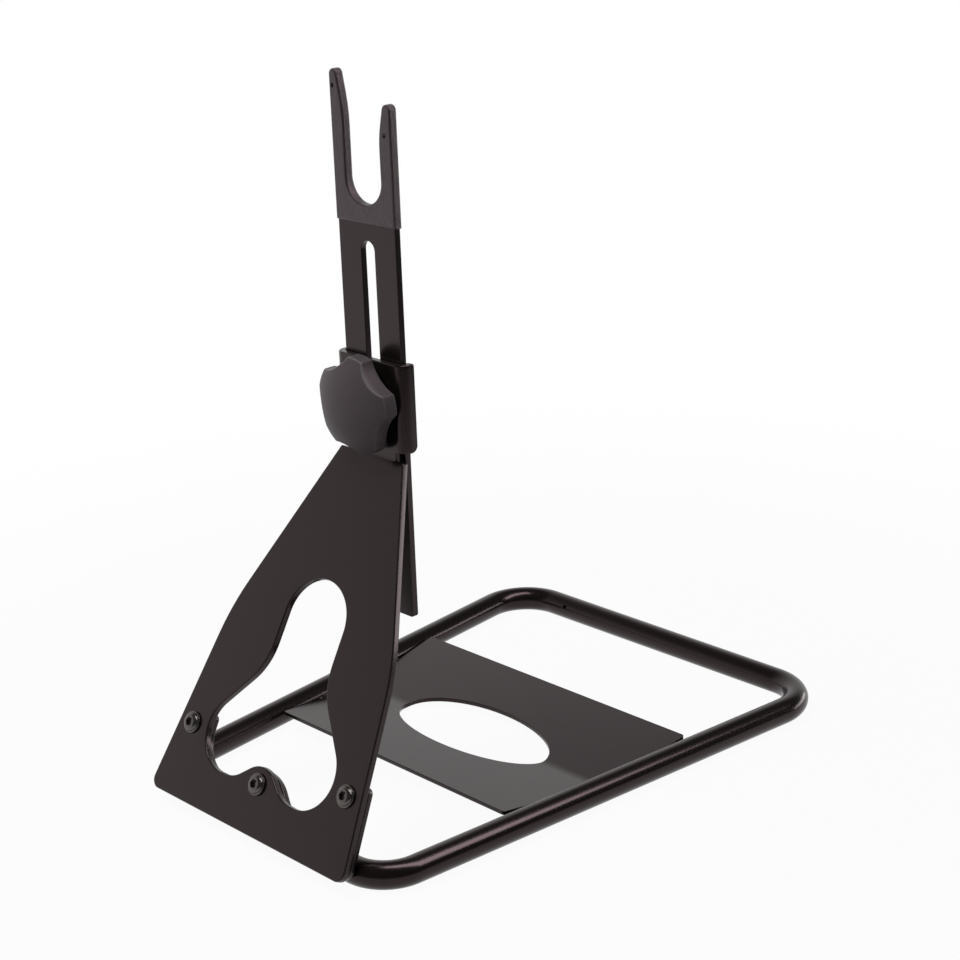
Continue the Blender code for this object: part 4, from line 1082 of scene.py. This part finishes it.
def make_bracket_washer(steel, place, at_screw):
    """One washer behind the bracket."""
    rim = circle(0, 0, SMALL_WASHER_RADIUS, count=64)
    hole = circle(0, 0, NUT_BORE_RADIUS, count=48)
    ring = sheet([rim, hole], SMALL_WASHER_THICKNESS, FINE_RIM)
    put(ring, raised((SMALL_WASHER_TOP + SMALL_WASHER_BOTTOM) / 2))
    add_piece("bracket_washer_" + place, put(ring, at_screw), steel, "frame", ["plate_washer_" + place])


def make_plate_nut(steel, place, at_screw):
    """One hexagon nut behind its washer, with chamfered corners."""
    corner = NUT_ACROSS_FLATS / math.sqrt(3)
    rim = circle(0, 0, corner, count=6)
    hole = circle(0, 0, NUT_BORE_RADIUS, count=36)
    nut = sheet([rim, hole], NUT_HEIGHT, NUT_RIM, steps=1)
    put(nut, raised((NUT_TOP + NUT_BOTTOM) / 2))
    flat = NUT_ACROSS_FLATS / 2
    reach = corner + NUT_CHAMFER_MARGIN
    drop = (reach - flat) * math.tan(NUT_CHAMFER)
    trim = turned([
        (0.0, NUT_TOP), (flat, NUT_TOP), (reach, NUT_TOP - drop),
        (reach, NUT_BOTTOM + drop), (flat, NUT_BOTTOM), (0.0, NUT_BOTTOM)])
    nut = combined(nut, trim, "INTERSECT")
    add_piece("hex_nut_" + place, put(nut, at_screw), steel, "frame", ["plate_nut_" + place], sharp=35)


def make_plate_fasteners(steel):
    """Three screws through plate and bracket, each with a washer and a nut behind."""
    for place, (u, v) in SCREW_PLACES.items():
        at_screw = ON_PLATE @ Matrix.Translation((u, v, 0.0))
        make_plate_screw(steel, place, at_screw)
        make_bracket_washer(steel, place, at_screw)
        make_plate_nut(steel, place, at_screw)


def make_floor():
    """A plain pale floor that turns white away from the stand and keeps its soft shadow."""
    shape = bmesh.new()
    bmesh.ops.create_circle(shape, cap_ends=True, segments=96, radius=FLOOR_RADIUS, matrix=Matrix.Identity(4))
    floor = bpy.data.objects.new("floor", mesh_of(shape, "floor"))
    bpy.context.scene.collection.objects.link(floor)
    paint = Finish("floor_paint", (0.50, 0.50, 0.50), 0.9, gloss=0.0)
    away = paint.node("ShaderNodeVectorMath", {"operation": "LENGTH"}, {0: paint.place()}, "Value")
    fade = paint.stretch(away, FLOOR_FADE_START, FLOOR_RADIUS, soft=True)
    white = paint.node("ShaderNodeEmission", inputs={"Color": ROOM_WHITE, "Strength": 1.0})
    lit = Value(paint, paint.shader.outputs[0])
    share = paint.seen() * (FLOOR_WHITE + (1.0 - FLOOR_WHITE) * fade)
    both = paint.node("ShaderNodeMixShader", inputs={0: share, 1: lit, 2: white})
    paint.feed(paint.tree.nodes["Material Output"].inputs["Surface"], both)
    floor.data.materials.append(paint.material)


def make_studio():
    """A white room, darker in reflections on the camera's side and past the paper's end."""
    world = bpy.data.worlds.new("studio")
    bpy.context.scene.world = world
    world.use_nodes = True
    room = Recipe(world.node_tree)
    way = room.node("ShaderNodeTexCoord", output="Generated")
    towards, past = (room.node(
        "ShaderNodeVectorMath", {"operation": "DOT_PRODUCT"}, {0: way, 1: direction}, "Value")
        for direction in (DARK_SIDE, PAPER_END))
    side = room.stretch(towards, DARK_SIDE_FROM, DARK_SIDE_FULL, soft=True)
    end = room.stretch(past, PAPER_END_FROM, PAPER_END_FULL, soft=True)
    dark = room.maths("MAXIMUM", side, end) * room.node("ShaderNodeLightPath", output="Is Glossy Ray")
    light = room.blend(room.seen(), ROOM_LIGHT, ROOM_WHITE)
    room.feed(room.tree.nodes["Background"].inputs["Color"], room.blend(dark, light, ROOM_DARK))


def add_lamp(name, place, long_side, length, width, power):
    """A soft rectangular lamp with its long side along a direction, aimed at the stand."""
    data = bpy.data.lights.new(name, "AREA")
    data.shape = "RECTANGLE"
    data.size = length
    data.size_y = width
    data.energy = power
    lamp = bpy.data.objects.new(name, data)
    back = Vector(place).normalized()
    up = back.cross(Vector(long_side)).normalized()
    turn = Matrix((up.cross(back), up, back)).transposed().to_4x4()
    lamp.matrix_world = Matrix.Translation(place) @ turn
    lamp.visible_camera = False
    bpy.context.scene.collection.objects.link(lamp)
    return lamp


def make_lamps():
    """A long soft lamp overhead, a low one behind on the right, and a fill from the front."""
    overhead = add_lamp("overhead", *OVERHEAD)
    overhead.visible_diffuse = False
    add_lamp("low_back", *LOW_BACK)
    fill = add_lamp("fill", *FILL)
    fill.visible_glossy = False


def make_camera():
    """The camera at the photograph's own place."""
    data = bpy.data.cameras.new("camera")
    data.sensor_width = 36.0
    data.sensor_fit = "HORIZONTAL"
    data.lens = CAMERA_LENS
    data.clip_start = 0.05
    data.clip_end = 60.0
    back = Vector((
        math.sin(CAMERA_AZIMUTH) * math.cos(CAMERA_ELEVATION),
        -math.cos(CAMERA_AZIMUTH) * math.cos(CAMERA_ELEVATION), math.sin(CAMERA_ELEVATION)))
    level = Vector((math.cos(CAMERA_AZIMUTH), math.sin(CAMERA_AZIMUTH), 0.0))
    upright = back.cross(level)
    right = level * math.cos(CAMERA_ROLL) + upright * math.sin(CAMERA_ROLL)
    up = upright * math.cos(CAMERA_ROLL) - level * math.sin(CAMERA_ROLL)
    turn = Matrix((right, up, back)).transposed().to_4x4()
    camera = bpy.data.objects.new("camera", data)
    bpy.context.scene.collection.objects.link(camera)
    camera.matrix_world = Matrix.Translation(CAMERA_PLACE) @ turn
    bpy.context.scene.camera = camera


def dress_node(node, finish):
    """Give a kept CAD part its finish."""
    part = frame["nodes"][node]
    part.data.materials.clear()
    part.data.materials.append(finish.material)


make_camera()
make_studio()
make_lamps()
make_floor()

coat = powder_coat()
zinc = zinc_plate()
steel = blackened_steel()
make_base_tube(coat)
make_cross_plate(coat)
make_cross_welds(coat)
make_bracket_weld(coat)
make_rear_bracket(coat)
make_front_plate(coat)
make_plate_fasteners(steel)
make_sliding_arm(coat)
make_fork_coating(dipped_vinyl())
make_clamp_bolt(zinc)
make_knob_washer(zinc)
make_knob(knob_plastic())
dress_node("knob_insert", insert_brass())

bpy.context.scene.view_settings.view_transform = "Standard"
